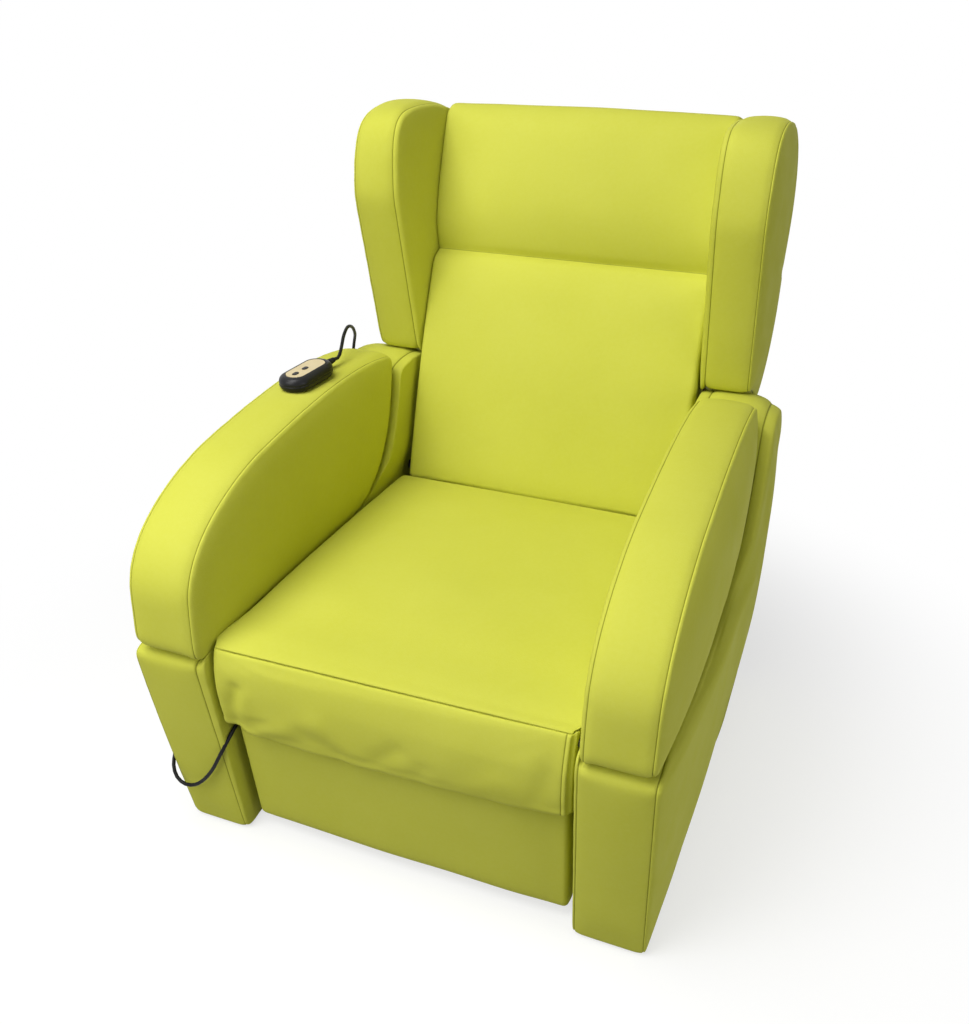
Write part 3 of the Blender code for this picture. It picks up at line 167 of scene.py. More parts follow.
class Nodes:
    """The nodes of a material or a world, made and linked in one call each."""

    def __init__(self, owner, shader="Principled BSDF"):
        owner.use_nodes = True
        self.owner, self.tree = owner, owner.node_tree
        self.shader = self.tree.nodes[shader]
        self.place = self.add("ShaderNodeTexCoord").outputs["Object"]

    def put(self, socket, value):
        """Links another node's output to the socket, or sets its value. Colours come without alpha."""
        if isinstance(value, bpy.types.NodeSocket):
            self.tree.links.new(value, socket)
        elif isinstance(value, tuple) and len(socket.default_value) == 4:
            socket.default_value = (*value, 1)
        else:
            socket.default_value = value

    def add(self, kind, values=None, **settings):
        node = self.tree.nodes.new(kind)
        for key, value in settings.items():
            setattr(node, key, value)
        for key, value in (values or {}).items():
            self.put(node.inputs[key], value)
        return node

    def noise(self, scale, detail=2.0, stretch=None, distortion=0.0):
        place = self.place
        if stretch:
            place = self.add("ShaderNodeMapping", {"Vector": place, "Scale": stretch}).outputs[0]
        return self.add("ShaderNodeTexNoise", {"Vector": place, "Scale": scale, "Detail": detail,
                                               "Distortion": distortion}).outputs["Fac"]

    def ramp(self, value, low, high, out_low, out_high):
        return self.add("ShaderNodeMapRange", {"Value": value, "From Min": low, "From Max": high, "To Min": out_low,
                                               "To Max": out_high}).outputs[0]

    def vary(self, value, out_low, out_high):
        """A noise's middle range, spread between two values."""
        return self.ramp(value, 0.3, 0.7, out_low, out_high)

    def mix(self, share, first, second):
        return self.add("ShaderNodeMix", {0: share, 6: first, 7: second}, data_type="RGBA").outputs[2]

    def math(self, operation, first, second):
        return self.add("ShaderNodeMath", {0: first, 1: second}, operation=operation).outputs[0]

    def bump(self, height, distance, strength, before=None):
        values = {"Height": height, "Distance": distance, "Strength": strength}
        if before is not None:
            values["Normal"] = before
        return self.add("ShaderNodeBump", values).outputs[0]

    def seen(self):
        """1 to the camera, also in a mirror or through glass, and 0 to the light that falls on the chair."""
        path = self.add("ShaderNodeLightPath").outputs
        straight = self.math("MAXIMUM", path["Is Camera Ray"], path["Is Glossy Ray"])
        return self.math("MAXIMUM", straight, path["Is Transmission Ray"])

    def set(self, **sockets):
        for key, value in sockets.items():
            self.put(self.shader.inputs[key.replace("_", " ")], value)
        return self.owner


def make_leatherette():
    """Smooth lime upholstery: fine pebble grain, faint cloudiness, and painted shade: a darker lime along the seams,
    where their creases fall in shadow.
    """
    n = Nodes(bpy.data.materials.new("lime_leatherette"))
    colour = n.mix(n.vary(n.noise(5.0, 3.0), 0.0, 1.0), LIME_LOW, LIME_HIGH)
    colour = n.mix(n.ramp(n.noise(160.0), 0.35, 0.75, 0.0, 0.10), colour, LIME_PALE)
    seam = n.add("ShaderNodeAttribute", attribute_name="seam").outputs["Fac"]
    # painted shade: the seam attribute darkens the colour towards a shaded lime along the seams' creases
    colour = n.mix(n.ramp(seam, 0.30, 0.85, 0.0, 0.9), colour, SEAM_SHADE)
    pebble = n.add("ShaderNodeTexVoronoi", {"Vector": n.place, "Scale": 620.0}).outputs["Distance"]
    grain = n.bump(n.noise(300.0), 0.00025, 0.30, n.bump(pebble, 0.00030, 0.40))
    rough = n.vary(n.noise(22.0, 3.0), 0.60, 0.70)
    return n.set(Base_Color=colour, Roughness=rough, Normal=grain, Specular_IOR_Level=0.07)


def make_plywood():
    n = Nodes(bpy.data.materials.new("birch_plywood"))
    grain = n.noise(30.0, 4.0, (1.0, 14.0, 14.0), 0.6)
    colour = n.mix(n.vary(grain, 0.0, 1.0), (0.20, 0.125, 0.060), (0.34, 0.235, 0.125))
    rough = n.vary(n.noise(60.0), 0.60, 0.78)
    return n.set(Base_Color=colour, Roughness=rough, Normal=n.bump(grain, 0.0003, 0.4))


def make_plastic(name, dark, light, roughness, grain_scale, depth, specular=0.5):
    """Moulded plastic or rubber with a fine eroded grain and slight dust."""
    n = Nodes(bpy.data.materials.new(name))
    colour = n.mix(n.ramp(n.noise(35.0, 4.0), 0.35, 0.75, 0.0, 1.0), dark, light)
    rough = n.vary(n.noise(90.0), roughness - 0.06, roughness + 0.08)
    return n.set(Base_Color=colour, Roughness=rough, Normal=n.bump(n.noise(grain_scale), depth, 0.5),
                 Specular_IOR_Level=specular)


def make_steel(name, dark, light, roughness, metallic):
    n = Nodes(bpy.data.materials.new(name))
    streak = n.noise(40.0, 3.0, (1.0, 18.0, 1.0))
    colour = n.mix(n.vary(streak, 0.0, 1.0), dark, light)
    rough = n.vary(n.noise(70.0, 3.0), roughness - 0.08, roughness + 0.10)
    return n.set(Base_Color=colour, Roughness=rough, Metallic=metallic, Normal=n.bump(streak, 0.0001, 0.3))


LIME_LOW = (0.605, 0.617, 0.072)
LIME_HIGH = (0.630, 0.642, 0.085)
LIME_PALE = (0.69, 0.71, 0.16)
# a shaded lime, painted along the seams as the shadow in their creases
SEAM_SHADE = (0.20, 0.205, 0.012)

leatherette = make_leatherette()
plywood = make_plywood()
black_plastic = make_plastic("black_plastic", (0.005, 0.005, 0.006), (0.010, 0.010, 0.011), 0.36, 900.0, 0.00010, 0.22)
rubber = make_plastic("cord_rubber", (0.005, 0.005, 0.005), (0.010, 0.010, 0.010), 0.50, 500.0, 0.00008, 0.15)
beige_plastic = make_plastic("beige_plastic", (0.66, 0.54, 0.30), (0.72, 0.60, 0.35), 0.42, 700.0, 0.00006)
black_steel = make_steel("black_coated_steel", (0.014, 0.014, 0.015), (0.030, 0.030, 0.032), 0.48, 0.3)
bright_steel = make_steel("bright_steel", (0.42, 0.42, 0.43), (0.55, 0.55, 0.56), 0.30, 1.0)
case_metal = make_steel("painted_case", (0.05, 0.05, 0.055), (0.09, 0.09, 0.095), 0.50, 0.4)

FINISHES = (  # of the solids that no piece stands in for
    (plywood, ("side_board", "front_rail", "rear_rail", "seat_deck", "back_board", "legrest_board")),
    (black_steel, ("leg_pin", "back_pin", "back_plate", "legrest_arm", "legrest_lug", "sync_bar", "actuator_bracket")),
    (bright_steel, ("actuator_pin", "actuator_rod")),
    (case_metal, ("amplifier",)),
    (black_plastic, ("glide", "seat_transducer", "back_transducer", "control_box", "cord_gland", "power_supply",
                     "power_inlet", "actuator_tube", "actuator_motor", "button")),
)
for material, starts in FINISHES:
    for name, node in frame["nodes"].items():
        if name.startswith(starts):
            node.data.materials.clear()
            node.data.materials.append(material)


# Curves in the y-z plane

def bezier(p0, p1, p2, p3, count=40):
    t = np.linspace(0, 1, count + 1)[:, None]
    p0, p1, p2, p3 = (np.array(p, float) for p in (p0, p1, p2, p3))
    return (1 - t) ** 3 * p0 + 3 * t * (1 - t) ** 2 * p1 + 3 * t * t * (1 - t) * p2 + t ** 3 * p3


def arc(centre, radius, start, end, count=24):
    """Angles in degrees, 0 towards the rear and 90 up."""
    a = np.radians(np.linspace(start, end, count + 1))
    return np.stack([centre[0] + radius * np.cos(a), centre[1] + radius * np.sin(a)], 1)


def line(*points):
    return np.array(points, float)


def joined(*curves):
    """Rows of (y, z, weight) from pairs of a curve and its weight, which is one number or one for each point."""
    return np.vstack([np.column_stack([c, np.broadcast_to(np.asarray(w, float), len(c))]) for c, w in curves])


def at(x, ring):
    """A ring of (y, z) points at a place across the chair."""
    return np.column_stack([np.full(len(ring), x), ring])


def upright_z(y):
    return BACK_AXIS[1] + math.sqrt(UPRIGHT_RADIUS ** 2 - (y - BACK_AXIS[0]) ** 2)


def back_point(up, behind):
    up, behind = np.asarray(up, float), np.asarray(behind, float)
    return np.stack([BACK_FOOT[0] + up * math.sin(BACK_ANGLE) + behind * math.cos(BACK_ANGLE),
                     BACK_FOOT[1] + up * math.cos(BACK_ANGLE) - behind * math.sin(BACK_ANGLE)], -1)


def back_depth(up):
    return BACK_DEPTH_LOW + (BACK_DEPTH_TOP - BACK_DEPTH_LOW) * up / BACK_LENGTH


def leg_face(z):
    return POST_FOOT * (1 - z / POST_TOP) + LEG_SETBACK


def pad_tail(gap):
    rise = upright_z(PAD_REAR) + PAD_PROUD - PAD_BOTTOM
    curve = bezier((PAD_REAR - PAD_TAIL, PAD_BOTTOM), (PAD_REAR - 0.055, PAD_BOTTOM),
                   (PAD_REAR - 0.010, PAD_BOTTOM + 0.53 * rise), (PAD_REAR, PAD_BOTTOM + rise))
    return curve + (gap, -gap)


def smooth(t):
    t = np.clip(t, 0, 1)
    return t * t * (3 - 2 * t)


def rounding(off):
    """How far a round edge of radius 1 lies back, off from its end."""
    return 1 - math.sqrt(max(0.0, 1 - (1 - min(1.0, off)) ** 2))


def lengths(points):
    """How far along a line its points lie."""
    return np.concatenate([[0], np.cumsum(np.linalg.norm(np.diff(points, axis=0), axis=1))])


def sampled(rows, along, goals):
    return np.stack([np.interp(goals, along, column) for column in rows.T], 1)


def filled(stops, step):
    """Places from stop to stop, about a step apart, without the last one."""
    return [p for a, b in zip(stops, stops[1:]) for p in np.linspace(a, b, max(1, round((b - a) / step)) + 1)[:-1]]


def even(points, step, ease):
    """A closed outline of (y, z, weight) rows, evenly spaced and eased at its corners, running counter-clockwise."""
    ring = np.vstack([points, points[:1]])
    along = lengths(ring[:, :2])
    count = round(along[-1] / step)
    ring = sampled(ring, along, np.arange(count) * along[-1] / count)
    after = np.roll(ring, -1, 0)
    if np.sum(ring[:, 0] * after[:, 1] - after[:, 0] * ring[:, 1]) < 0:
        ring = ring[::-1]
    for _ in range(ease):
        ring = eased(ring)
    return ring


def eased(ring, share=0.25):
    return ring + share * (np.roll(ring, 1, 0) + np.roll(ring, -1, 0) - 2 * ring)


def outward(ring):
    run = np.roll(ring, -1, 0) - np.roll(ring, 1, 0)
    normal = np.stack([run[:, 1], -run[:, 0]], 1)
    return normal / np.maximum(np.linalg.norm(normal, axis=1), 1e-9)[:, None]


def drawn_in(ring, inset):
    """The ring moved in by inset in small steps, eased after each so that tight corners don't cross."""
    steps = max(1, math.ceil(inset / 0.0015))
    for _ in range(steps):
        ring = eased(ring - outward(ring) * (inset / steps), 0.2)
    return ring


# Soft pieces

SIMULATED_FRAMES = 20
SEAM_STEPS = (0.0012, 0.003, 0.0055, 0.009, 0.014)
EDGE_STEPS = (0.0, 0.03, 0.10, 0.22, 0.40, 0.65, 1.0)
FACE_STEPS = (0.05, 0.13, 0.23, 0.34, 0.45, 0.56, 0.66, 0.75, 0.83, 0.90, 0.955, 0.985)
ROLL_ANGLES = (82, 62, 44, 27, 13)
SEAM_DEPTH = 0.0014
BAND_STEP = 0.009
PUCKER_REACH, PUCKER_SCALE, RUMPLE_SCALE = 0.011, 62, 9
HOLD_EDGE = 0.03          # a cushion's padding is held more and more, this close to its ends


class Form:
    """A closed skin through rings of points. Each row is (points, seam, held), with numbers for the ring or for each
    of its points: how much it is seam, which also sets how much painted shade the leatherette puts there, and how
    firmly the padding under it is held."""

    def __init__(self, rows, zipped=False):
        count, last = len(rows[0][0]), len(rows) - 1
        self.points = np.concatenate([r[0] for r in rows])
        self.seam, self.held = (np.concatenate([np.broadcast_to(np.asarray(r[k], float), count) for r in rows])
                                for k in (1, 2))
        faces = [(k + i, k + j, k + count + j, k + count + i) for k in range(0, last * count, count)
                 for i, j in zip(range(count), [*range(1, count), 0])]
        for first in (0, last * count):
            end = range(first, first + count)
            faces += zip_shut(self.points, end) if zipped else [tuple(end)]
        self.faces = oriented(self.points, faces)

    def mirrored(self):
        return SimpleNamespace(points=self.points * (-1, 1, 1), faces=[f[::-1] for f in self.faces], seam=self.seam)

    def normals(self):
        mesh = new_mesh("normals", self.points, self.faces)
        found = vectors(mesh.vertex_normals, "vector")
        bpy.data.meshes.remove(mesh)
        return found

    def spread(self, values, passes):
        """Values evened out over neighbouring points."""
        edges = {(min(a, b), max(a, b)) for f in self.faces for a, b in zip(f, f[1:] + f[:1])}
        edges = np.array(sorted(edges))
        degree = np.bincount(edges.ravel(), minlength=len(self.points)).astype(float)[:, None]
        for _ in range(passes):
            total = np.zeros_like(values)
            np.add.at(total, edges[:, 0], values[edges[:, 1]])
            np.add.at(total, edges[:, 1], values[edges[:, 0]])
            values = 0.5 * values + 0.5 * total / degree
        return values

    def puff(self, pressure, most):
        """Fills the skin by a cloth simulation under pressure. No point moves further than most."""
        mesh = new_mesh("puff", self.points, self.faces)
        piece = add_object("puff", mesh)
        group = piece.vertex_groups.new(name="held")
        for weight in np.unique(np.round(self.held, 2)):
            if weight > 0:
                group.add(np.flatnonzero(np.round(self.held, 2) == weight).tolist(), float(weight), "REPLACE")
        cloth = piece.modifiers.new("puff", "CLOTH")
        cloth.settings.quality = 5
        cloth.settings.use_pressure = True
        cloth.settings.uniform_pressure_force = pressure
        cloth.settings.vertex_group_mass = "held"
        cloth.settings.effector_weights.gravity = 0
        cloth.collision_settings.use_collision = False
        cloth.point_cache.frame_start, cloth.point_cache.frame_end = 1, SIMULATED_FRAMES
        for step in range(1, SIMULATED_FRAMES + 1):
            bpy.context.scene.frame_set(step)
        shaped = piece.evaluated_get(bpy.context.evaluated_depsgraph_get())
        found = vectors(shaped.data.vertices, "co")
        bpy.data.objects.remove(piece)
        bpy.data.meshes.remove(mesh)
        bpy.context.scene.frame_set(1)
        move = np.nan_to_num(found - self.points)
        reach = np.linalg.norm(move, axis=1)
        move *= (most * np.tanh(reach / most) / np.maximum(reach, 1e-9))[:, None]
        move = self.spread(move * (1 - self.held)[:, None], 3)
        self.points = self.points + move * (1 - self.held)[:, None]
        return self

    def wear(self, pucker, rumple, seed):
        """Puckers the skin beside its seams and lets it ripple a little elsewhere."""
        normals = self.normals()
        seams = np.flatnonzero(self.seam > 0.5)
        tree = kdtree.KDTree(max(len(seams), 1))
        for i in seams:
            tree.insert(self.points[i], int(i))
        tree.balance()
        move = np.zeros(len(self.points))
        shift = Vector((seed * 3.7, seed * 1.9, seed * 5.3))
        for i, point in enumerate(self.points):
            place = Vector(point)
            off = tree.find(place)[2] if len(seams) else 1.0
            near = math.exp(-(off / PUCKER_REACH) ** 2) * min(1.0, off / 0.0025)
            small = noise.noise(place * PUCKER_SCALE + shift) * pucker * near if near > 0.01 else 0.0
            wide = noise.noise(place * RUMPLE_SCALE + shift) * rumple * min(1.0, off / 0.02) * (1 - self.held[i])
            move[i] = small + wide
        self.points = self.points + normals * move[:, None]
        return self


def vectors(items, key):
    found = np.zeros(len(items) * 3, np.float32)
    items.foreach_get(key, found)
    return found.reshape(-1, 3).astype(float)


def zip_shut(points, ring):
    """Faces across a ring, in pairs from its far tip."""
    count = len(ring)
    spots = points[list(ring)]
    tip = int(np.argmax(np.linalg.norm(spots - spots.mean(0), axis=1)))
    order = [ring[(tip + k) % count] for k in range(count)]
    last = (count - 1) // 2
    faces = [(order[0], order[1], order[-1])]
    faces += [(order[k], order[k + 1], order[-k - 1], order[-k]) for k in range(1, last)]
    if count % 2 == 0:
        faces.append((order[last], order[last + 1], order[-last]))
    return faces


def oriented(points, faces):
    """The faces with their normals outward, and the end faces cut into triangles."""
    bm = bmesh.new()
    verts = [bm.verts.new(p) for p in points]
    for face in faces:
        bm.faces.new([verts[i] for i in face])
    bm.verts.index_update()
    bmesh.ops.triangulate(bm, faces=[f for f in bm.faces if len(f.verts) > 4])
    bmesh.ops.recalc_face_normals(bm, faces=bm.faces)
    found = [tuple(v.index for v in f.verts) for f in bm.faces]
    bm.free()
    return found


def placed(points):
    return np.asarray(points, float) + (0, FRONT, 0)


def add_piece(name, points, faces, material, seam=None, levels=0):
    mesh = new_mesh(name, placed(points), faces)
    mesh.materials.append(material)
    mesh.shade_smooth()
    if seam is not None:
        # the seam attribute tells the leatherette where to paint shade along the seams
        mesh.attributes.new("seam", "FLOAT", "POINT").data.foreach_set("value", np.asarray(seam, np.float32))
    piece = add_object(name, mesh)
    if levels:
        modifier = piece.modifiers.new("smooth", "SUBSURF")
        modifier.levels = modifier.render_levels = levels
    return piece


def dress(node, form, body, blend=None, levels=1):
    """Puts the form in place of a CAD solid."""
    piece = add_piece(node + "_cover", form.points, form.faces, leatherette, form.seam, levels)
    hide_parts(node)
    if blend:
        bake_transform(piece)
    else:
        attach(piece, body)


def boxed(outline, centre, x0, x1, crown, drop, inner, outer, held_inner=0.0):
    """A boxed pad: a band between two seams, and a face sewn to each. A face is (out, in, bulge): how far its edge
    rolls out and in from the seam, and how far its middle stands out."""
    weight = outline[:, 2]
    base = outline[:, :2]
    centre = np.array(centre)
    rest = 1 - np.clip(weight, 0, 1)

    def face_rows(x, way, face, held):
        roll_out, roll_in, bulge = face
        rim = drawn_in(base, drop + roll_in)
        rows = []
        for s in FACE_STEPS:
            swell = roll_out + (bulge - roll_out) * (1 - s ** 3.2)
            rows.append((at(x + way * swell, centre + (rim - centre) * s), 0, held))
        for a in map(math.radians, ROLL_ANGLES):
            ring = drawn_in(base, drop + roll_in * (1 - math.cos(a)))
            rows.append((at(x + way * roll_out * math.sin(a), ring), 0, max(held, 0.5 * math.cos(a))))
        return rows

    groove = at(0, drawn_in(base, drop + SEAM_DEPTH))
    rows = face_rows(x0, -1, inner, held_inner)
    near = SEAM_STEPS[-1]
    middle = np.linspace(x0 + near, x1 - near, max(3, round((x1 - x0 - 2 * near) / BAND_STEP) + 1))[1:-1]
    places = [x0 + d for d in SEAM_STEPS] + list(middle) + [x1 - d for d in SEAM_STEPS[::-1]]
    rows.append((groove + (x0, 0, 0), 1, 1))
    for x in places:
        off = min(x - x0, x1 - x)
        t = (2 * x - x0 - x1) / (x1 - x0)
        move = drop * math.exp(-(off / 0.006) ** 2) - crown * (1 - t * t) * weight
        firm = np.maximum(rest, math.exp(-(off / 0.004) ** 2))
        rows.append((at(x, base - outward(base) * move[:, None]), 0, firm))
    rows.append((groove + (x1, 0, 0), 1, 1))
    rows += face_rows(x1, 1, outer, 0.0)[::-1]
    return Form(rows, zipped=True)


def across(half, edge, step=0.010):
    """Places across a cushion, close together at its rounded ends: (x, how far the edge is rounded off there)."""
    ends = [edge * d for d in EDGE_STEPS]
    count = max(2, round((2 * half - 2 * edge) / step))
    inner = [-half + edge + (2 * half - 2 * edge) * i / count for i in range(1, count)]
    places = [-half + d for d in ends] + inner + [half - d for d in ends[::-1]]
    return [(x, edge * rounding((half - abs(x)) / edge)) for x in places]


def slices(base, half, edge, firm, free, crown, way=1):
    """A crowned cushion's slices from its outline: (x, points, how firmly each is held). The way is -1 for an outline
    that runs clockwise."""
    normal = way * outward(base)
    for x, cut in across(half, edge):
        t = x / half
        inset = cut * firm - crown * (1 - t * t) * free
        yield x, base - normal * inset[:, None], 1 - free * min(1.0, (half - abs(x)) / HOLD_EDGE)


# Upholstery

PAD_STEP = 0.0075         # between the points of a side's or a pad's outline
SIDE_SEAMS = (0.2945, 0.390)
SIDE_INSIDE, SIDE_ROLL = 0.2866, 0.0035  # a side's inner face, and how far it rolls out from its seam
POST_SEAMS = {  # seams of a post's front at the floor and at its top
    "right": ((0.2820, 0.2835), (0.3860, 0.3850)),
    "left": ((0.2890, 0.2990), (0.3845, 0.4035)),
}
POST_INSIDE = {"right": 0.2784, "left": 0.2832}  # inner face of a post
POST_ROLL = {"right": 0.0, "left": 0.55}         # how much a post's outer roll is flattened
SHOULDER = {"right": (0.015, 0.010), "left": (0.003, 0.0)}  # how far an upright falls off at its band and edge


def make_sides():
    rear = math.degrees(math.acos((SIDE_DEPTH - 0.030 - BACK_AXIS[0]) / UPRIGHT_COVER))
    front = math.degrees(math.acos((PAD_REAR + FIT - BACK_AXIS[0]) / UPRIGHT_COVER))
    rear_top = BACK_AXIS[1] + UPRIGHT_COVER * math.sin(math.radians(rear))
    cap = arc(BACK_AXIS, UPRIGHT_COVER, front, rear)
    tail = pad_tail(FIT)
    curves = (
        arc((POST_FOOT + 0.0045, COVER_BASE + 0.0035), 0.0035, 270, 190),
        arc((0.0100, POST_TOP - PAD_SAG - 0.0175), 0.0095, 172, 104),
        line((0.060, POST_TOP - PAD_SAG + 0.0010), (0.150, POST_TOP - 0.0006)),
        tail[tail[:, 1] < cap[0][1] - 0.008],
        cap,
        arc((SIDE_DEPTH - 0.030, rear_top - 0.030), 0.030, 60, 0),
        line((SIDE_DEPTH, COVER_BASE)),
    )
    outline = even(joined((np.vstack(curves), 0)), PAD_STEP, 1)
    y, z = outline[:, 0], outline[:, 1]
    outline[:, 2] = (y < 0.12) & (z > 0.03) & (z < POST_TOP - 0.02)
    for _ in range(8):
        outline[:, 2] = eased(outline[:, 2:])[:, 0]
    x0, x1 = SIDE_SEAMS
    form = boxed(outline, (0.712, 0.345), x0, x1, crown=0.003, drop=0.0018, inner=(SIDE_ROLL, 0.003, SIDE_ROLL),
                 outer=(0.007, 0.005, 0.029), held_inner=1.0)
    form.puff(3.0, 0.004).wear(0.0006, 0.0010, 1)
    x, y, z = form.points.T
    post = smooth((0.118 - y) / 0.05)
    upright = smooth((y - 0.50) / 0.10) * smooth((z - 0.400) / 0.06)
    shoulder = smooth((z - 0.53) / 0.08)
    fuller = 0.005 * smooth((y - 0.02) / 0.20) + 0.008 * smooth((y - 0.45) / 0.20)
    fuller *= smooth((x - x1) / 0.006) * (1 - smooth((x - x1 - 0.007) / 0.020))
    wider = 0.005 * smooth((y - 0.50) / 0.10) * (0.3 + 0.7 * smooth(z / 0.35))
    swells = {"right": (wider, 1.0, fuller), "left": (0.005 * upright, 0.85, 0.0)}  # less on the left, under the lead
    post_top = smooth((z - 0.350) / 0.015) * smooth((0.16 - y) / 0.06) * (z < POST_TOP)
    for word, way in (("right", 1), ("left", -1)):
        (in_low, in_top), (out_low, out_top) = POST_SEAMS[word]
        near, rise = smooth((0.35 - y) / 0.25), np.clip(z / 0.37, 0, 1)
        inner = x0 + (in_low + (in_top - in_low) * rise - x0) * near
        wide, full, edge = swells[word]
        outer = x1 + wide + (out_low + (out_top - out_low) * np.sin(math.pi / 2 * rise) - x1) * near
        across_band = inner + (outer - inner) * (x - x0) / (x1 - x0)
        deep = SIDE_INSIDE - (SIDE_INSIDE - POST_INSIDE[word]) * post - 0.0126 * upright
        inside = inner + (deep - inner) * np.clip((x0 - x) / SIDE_ROLL, 0, 1)
        rolled = (0.35 + 0.65 * np.sin(math.pi / 2 * np.clip(z / 0.20, 0, 1))) * (1 - POST_ROLL[word] * near)
        outside = outer + (x - x1) * rolled * full + edge
        shaped = np.where(x < x0, inside, np.where(x > x1, outside, across_band))
        cover = form if way > 0 else form.mirrored()
        lip = 0.013 * post_top * smooth((deep + 0.0075 - shaped) / 0.004)
        band_fall, edge_fall = SHOULDER[word]
        fall = (band_fall * np.clip((x - 0.352) / 0.045, 0, 1.4) ** 2 + edge_fall * np.clip((x - x1) / 0.012, 0, 1)
                + 0.003 * np.clip((0.318 - x) / 0.028, 0, 1) ** 2)
        cover.points = np.column_stack([way * shaped, y, z + lip - shoulder * fall])
        dress("side_panel_" + word, cover, "base")


def make_arm_pads():
    nose_low = (PAD_FRONT + 0.006, PAD_BOTTOM + PAD_FACE)
    nose_high = (PAD_FRONT + PAD_NOSE_REACH, PAD_NOSE_TOP)
    tail = pad_tail(0) + np.linspace(0, 1, 41)[:, None] ** 3 * (-0.003, 0.008)
    crest = bezier(nose_high, (nose_high[0] + 0.14, nose_high[1] + 0.026),
                   (tail[-1][0] - 0.13, tail[-1][1] + 0.031), tail[-1])
    nose = bezier(nose_low, (nose_low[0] + 0.004, nose_low[1] + 0.075),
                  (nose_high[0] - 0.115, nose_high[1] - 0.030), nose_high)
    outline = joined(
        (arc((PAD_FRONT + 0.018, PAD_BOTTOM - PAD_SAG + 0.016), 0.016, 180, 270), 0), (line((0.150, PAD_BOTTOM)), 0),
        (tail, 0), (crest[::-1][1:], 1), (nose[::-1][1:], 1))
    form = boxed(even(outline, PAD_STEP, 3), (0.36, 0.513), *PAD_SEAMS, crown=0.004, drop=0.0030,
                 inner=(0.007, 0.008, 0.009), outer=(0.006, 0.005, 0.024))
    form.puff(4.0, 0.004).wear(0.0007, 0.0012, 2)
    x, y, z = form.points.T
    form.points[:, 2] -= 0.007 * smooth((0.303 - x) / 0.012) * smooth((0.13 - y) / 0.06) * smooth((0.408 - z) / 0.02)
    low = np.interp(y, *np.vstack([(0.0, PAD_BOTTOM), pad_tail(0)]).T)
    beside = smooth(1 - (z - low) / 0.07) * smooth(y / 0.28) * smooth((x - PAD_SEAMS[1]) / 0.006)
    form.points[:, 0] += 0.012 * beside * (1 - smooth((x - PAD_SEAMS[1] - 0.006) / 0.018))
    dress("arm_pad_right", form, "base")
    other = form.mirrored()
    first, last = PAD_SEAMS
    other.points[:, 0] -= LEFT_PAD_WIDER * np.clip((form.points[:, 0] - first) / (last - first), 0, 1)
    dress("arm_pad_left", other, "base")


def make_wings():
    """The wings. Their front corner is square at the inner seam and rounder at the outer one."""
    top = BACK_LENGTH - 0.002
    start, end = (math.degrees(math.acos(x / WING_SOLE)) for x in (0.020, 0.166))
    sole = arc(BACK_AXIS, WING_SOLE, end, start)
    head, corner, brow = (0.656, 0.925), (0.673, 1.046), (0.775, 1.0705)
    nose = np.vstack([bezier(head, (0.655, 0.985), (0.656, 1.023), corner),
                      bezier(corner, (0.687, 1.064), (0.715, 1.0695), brow)[1:]])
    crest = bezier(brow, (0.83, 1.0715), back_point(top, 0.02), back_point(top - 0.002, 0.06))
    rear_top = back_point(top - 0.065, back_depth(top))
    rear = bezier(crest[-1], back_point(top - 0.004, 0.115), back_point(top - 0.015, back_depth(top)), rear_top)
    outline = joined((sole, 0), (line(sole[-1], head), 1), (nose[1:], 1), (crest[1:], 1), (rear[1:], 1))
    form = boxed(even(outline, 0.0072, 5), back_point(0.47, 0.1055), *WING_SEAMS, crown=0.003, drop=0.0030,
                 inner=(0.010, 0.006, 0.012), outer=(0.005, 0.006, 0.014))
    form.puff(4.0, 0.0035).wear(0.0007, 0.0012, 3)
    x, y, z = form.points.T
    share = np.clip((x - WING_SEAMS[0]) / (WING_SEAMS[1] - WING_SEAMS[0]), 0, 1.2)
    pull = 0.010 * share * np.exp(-((y - corner[0]) ** 2 + (z - corner[1]) ** 2) / 0.075 ** 2)
    tuck = 0.010 * smooth((WING_SEAMS[0] - 0.0005 - x) / 0.006) * smooth((0.73 - z) / 0.09)
    form.points = np.column_stack([x, y + pull, z - pull - tuck])
    dress("wing_right", form, "backrest")
    dress("wing_left", form.mirrored(), "backrest")


def front_rise(x, y):
    share = np.clip((x - SKIRT_LEFT) / (SKIRT_RIGHT - SKIRT_LEFT), 0, 1)
    return SEAM_RISE * share * (1 - smooth((y - 0.020) / 0.030))


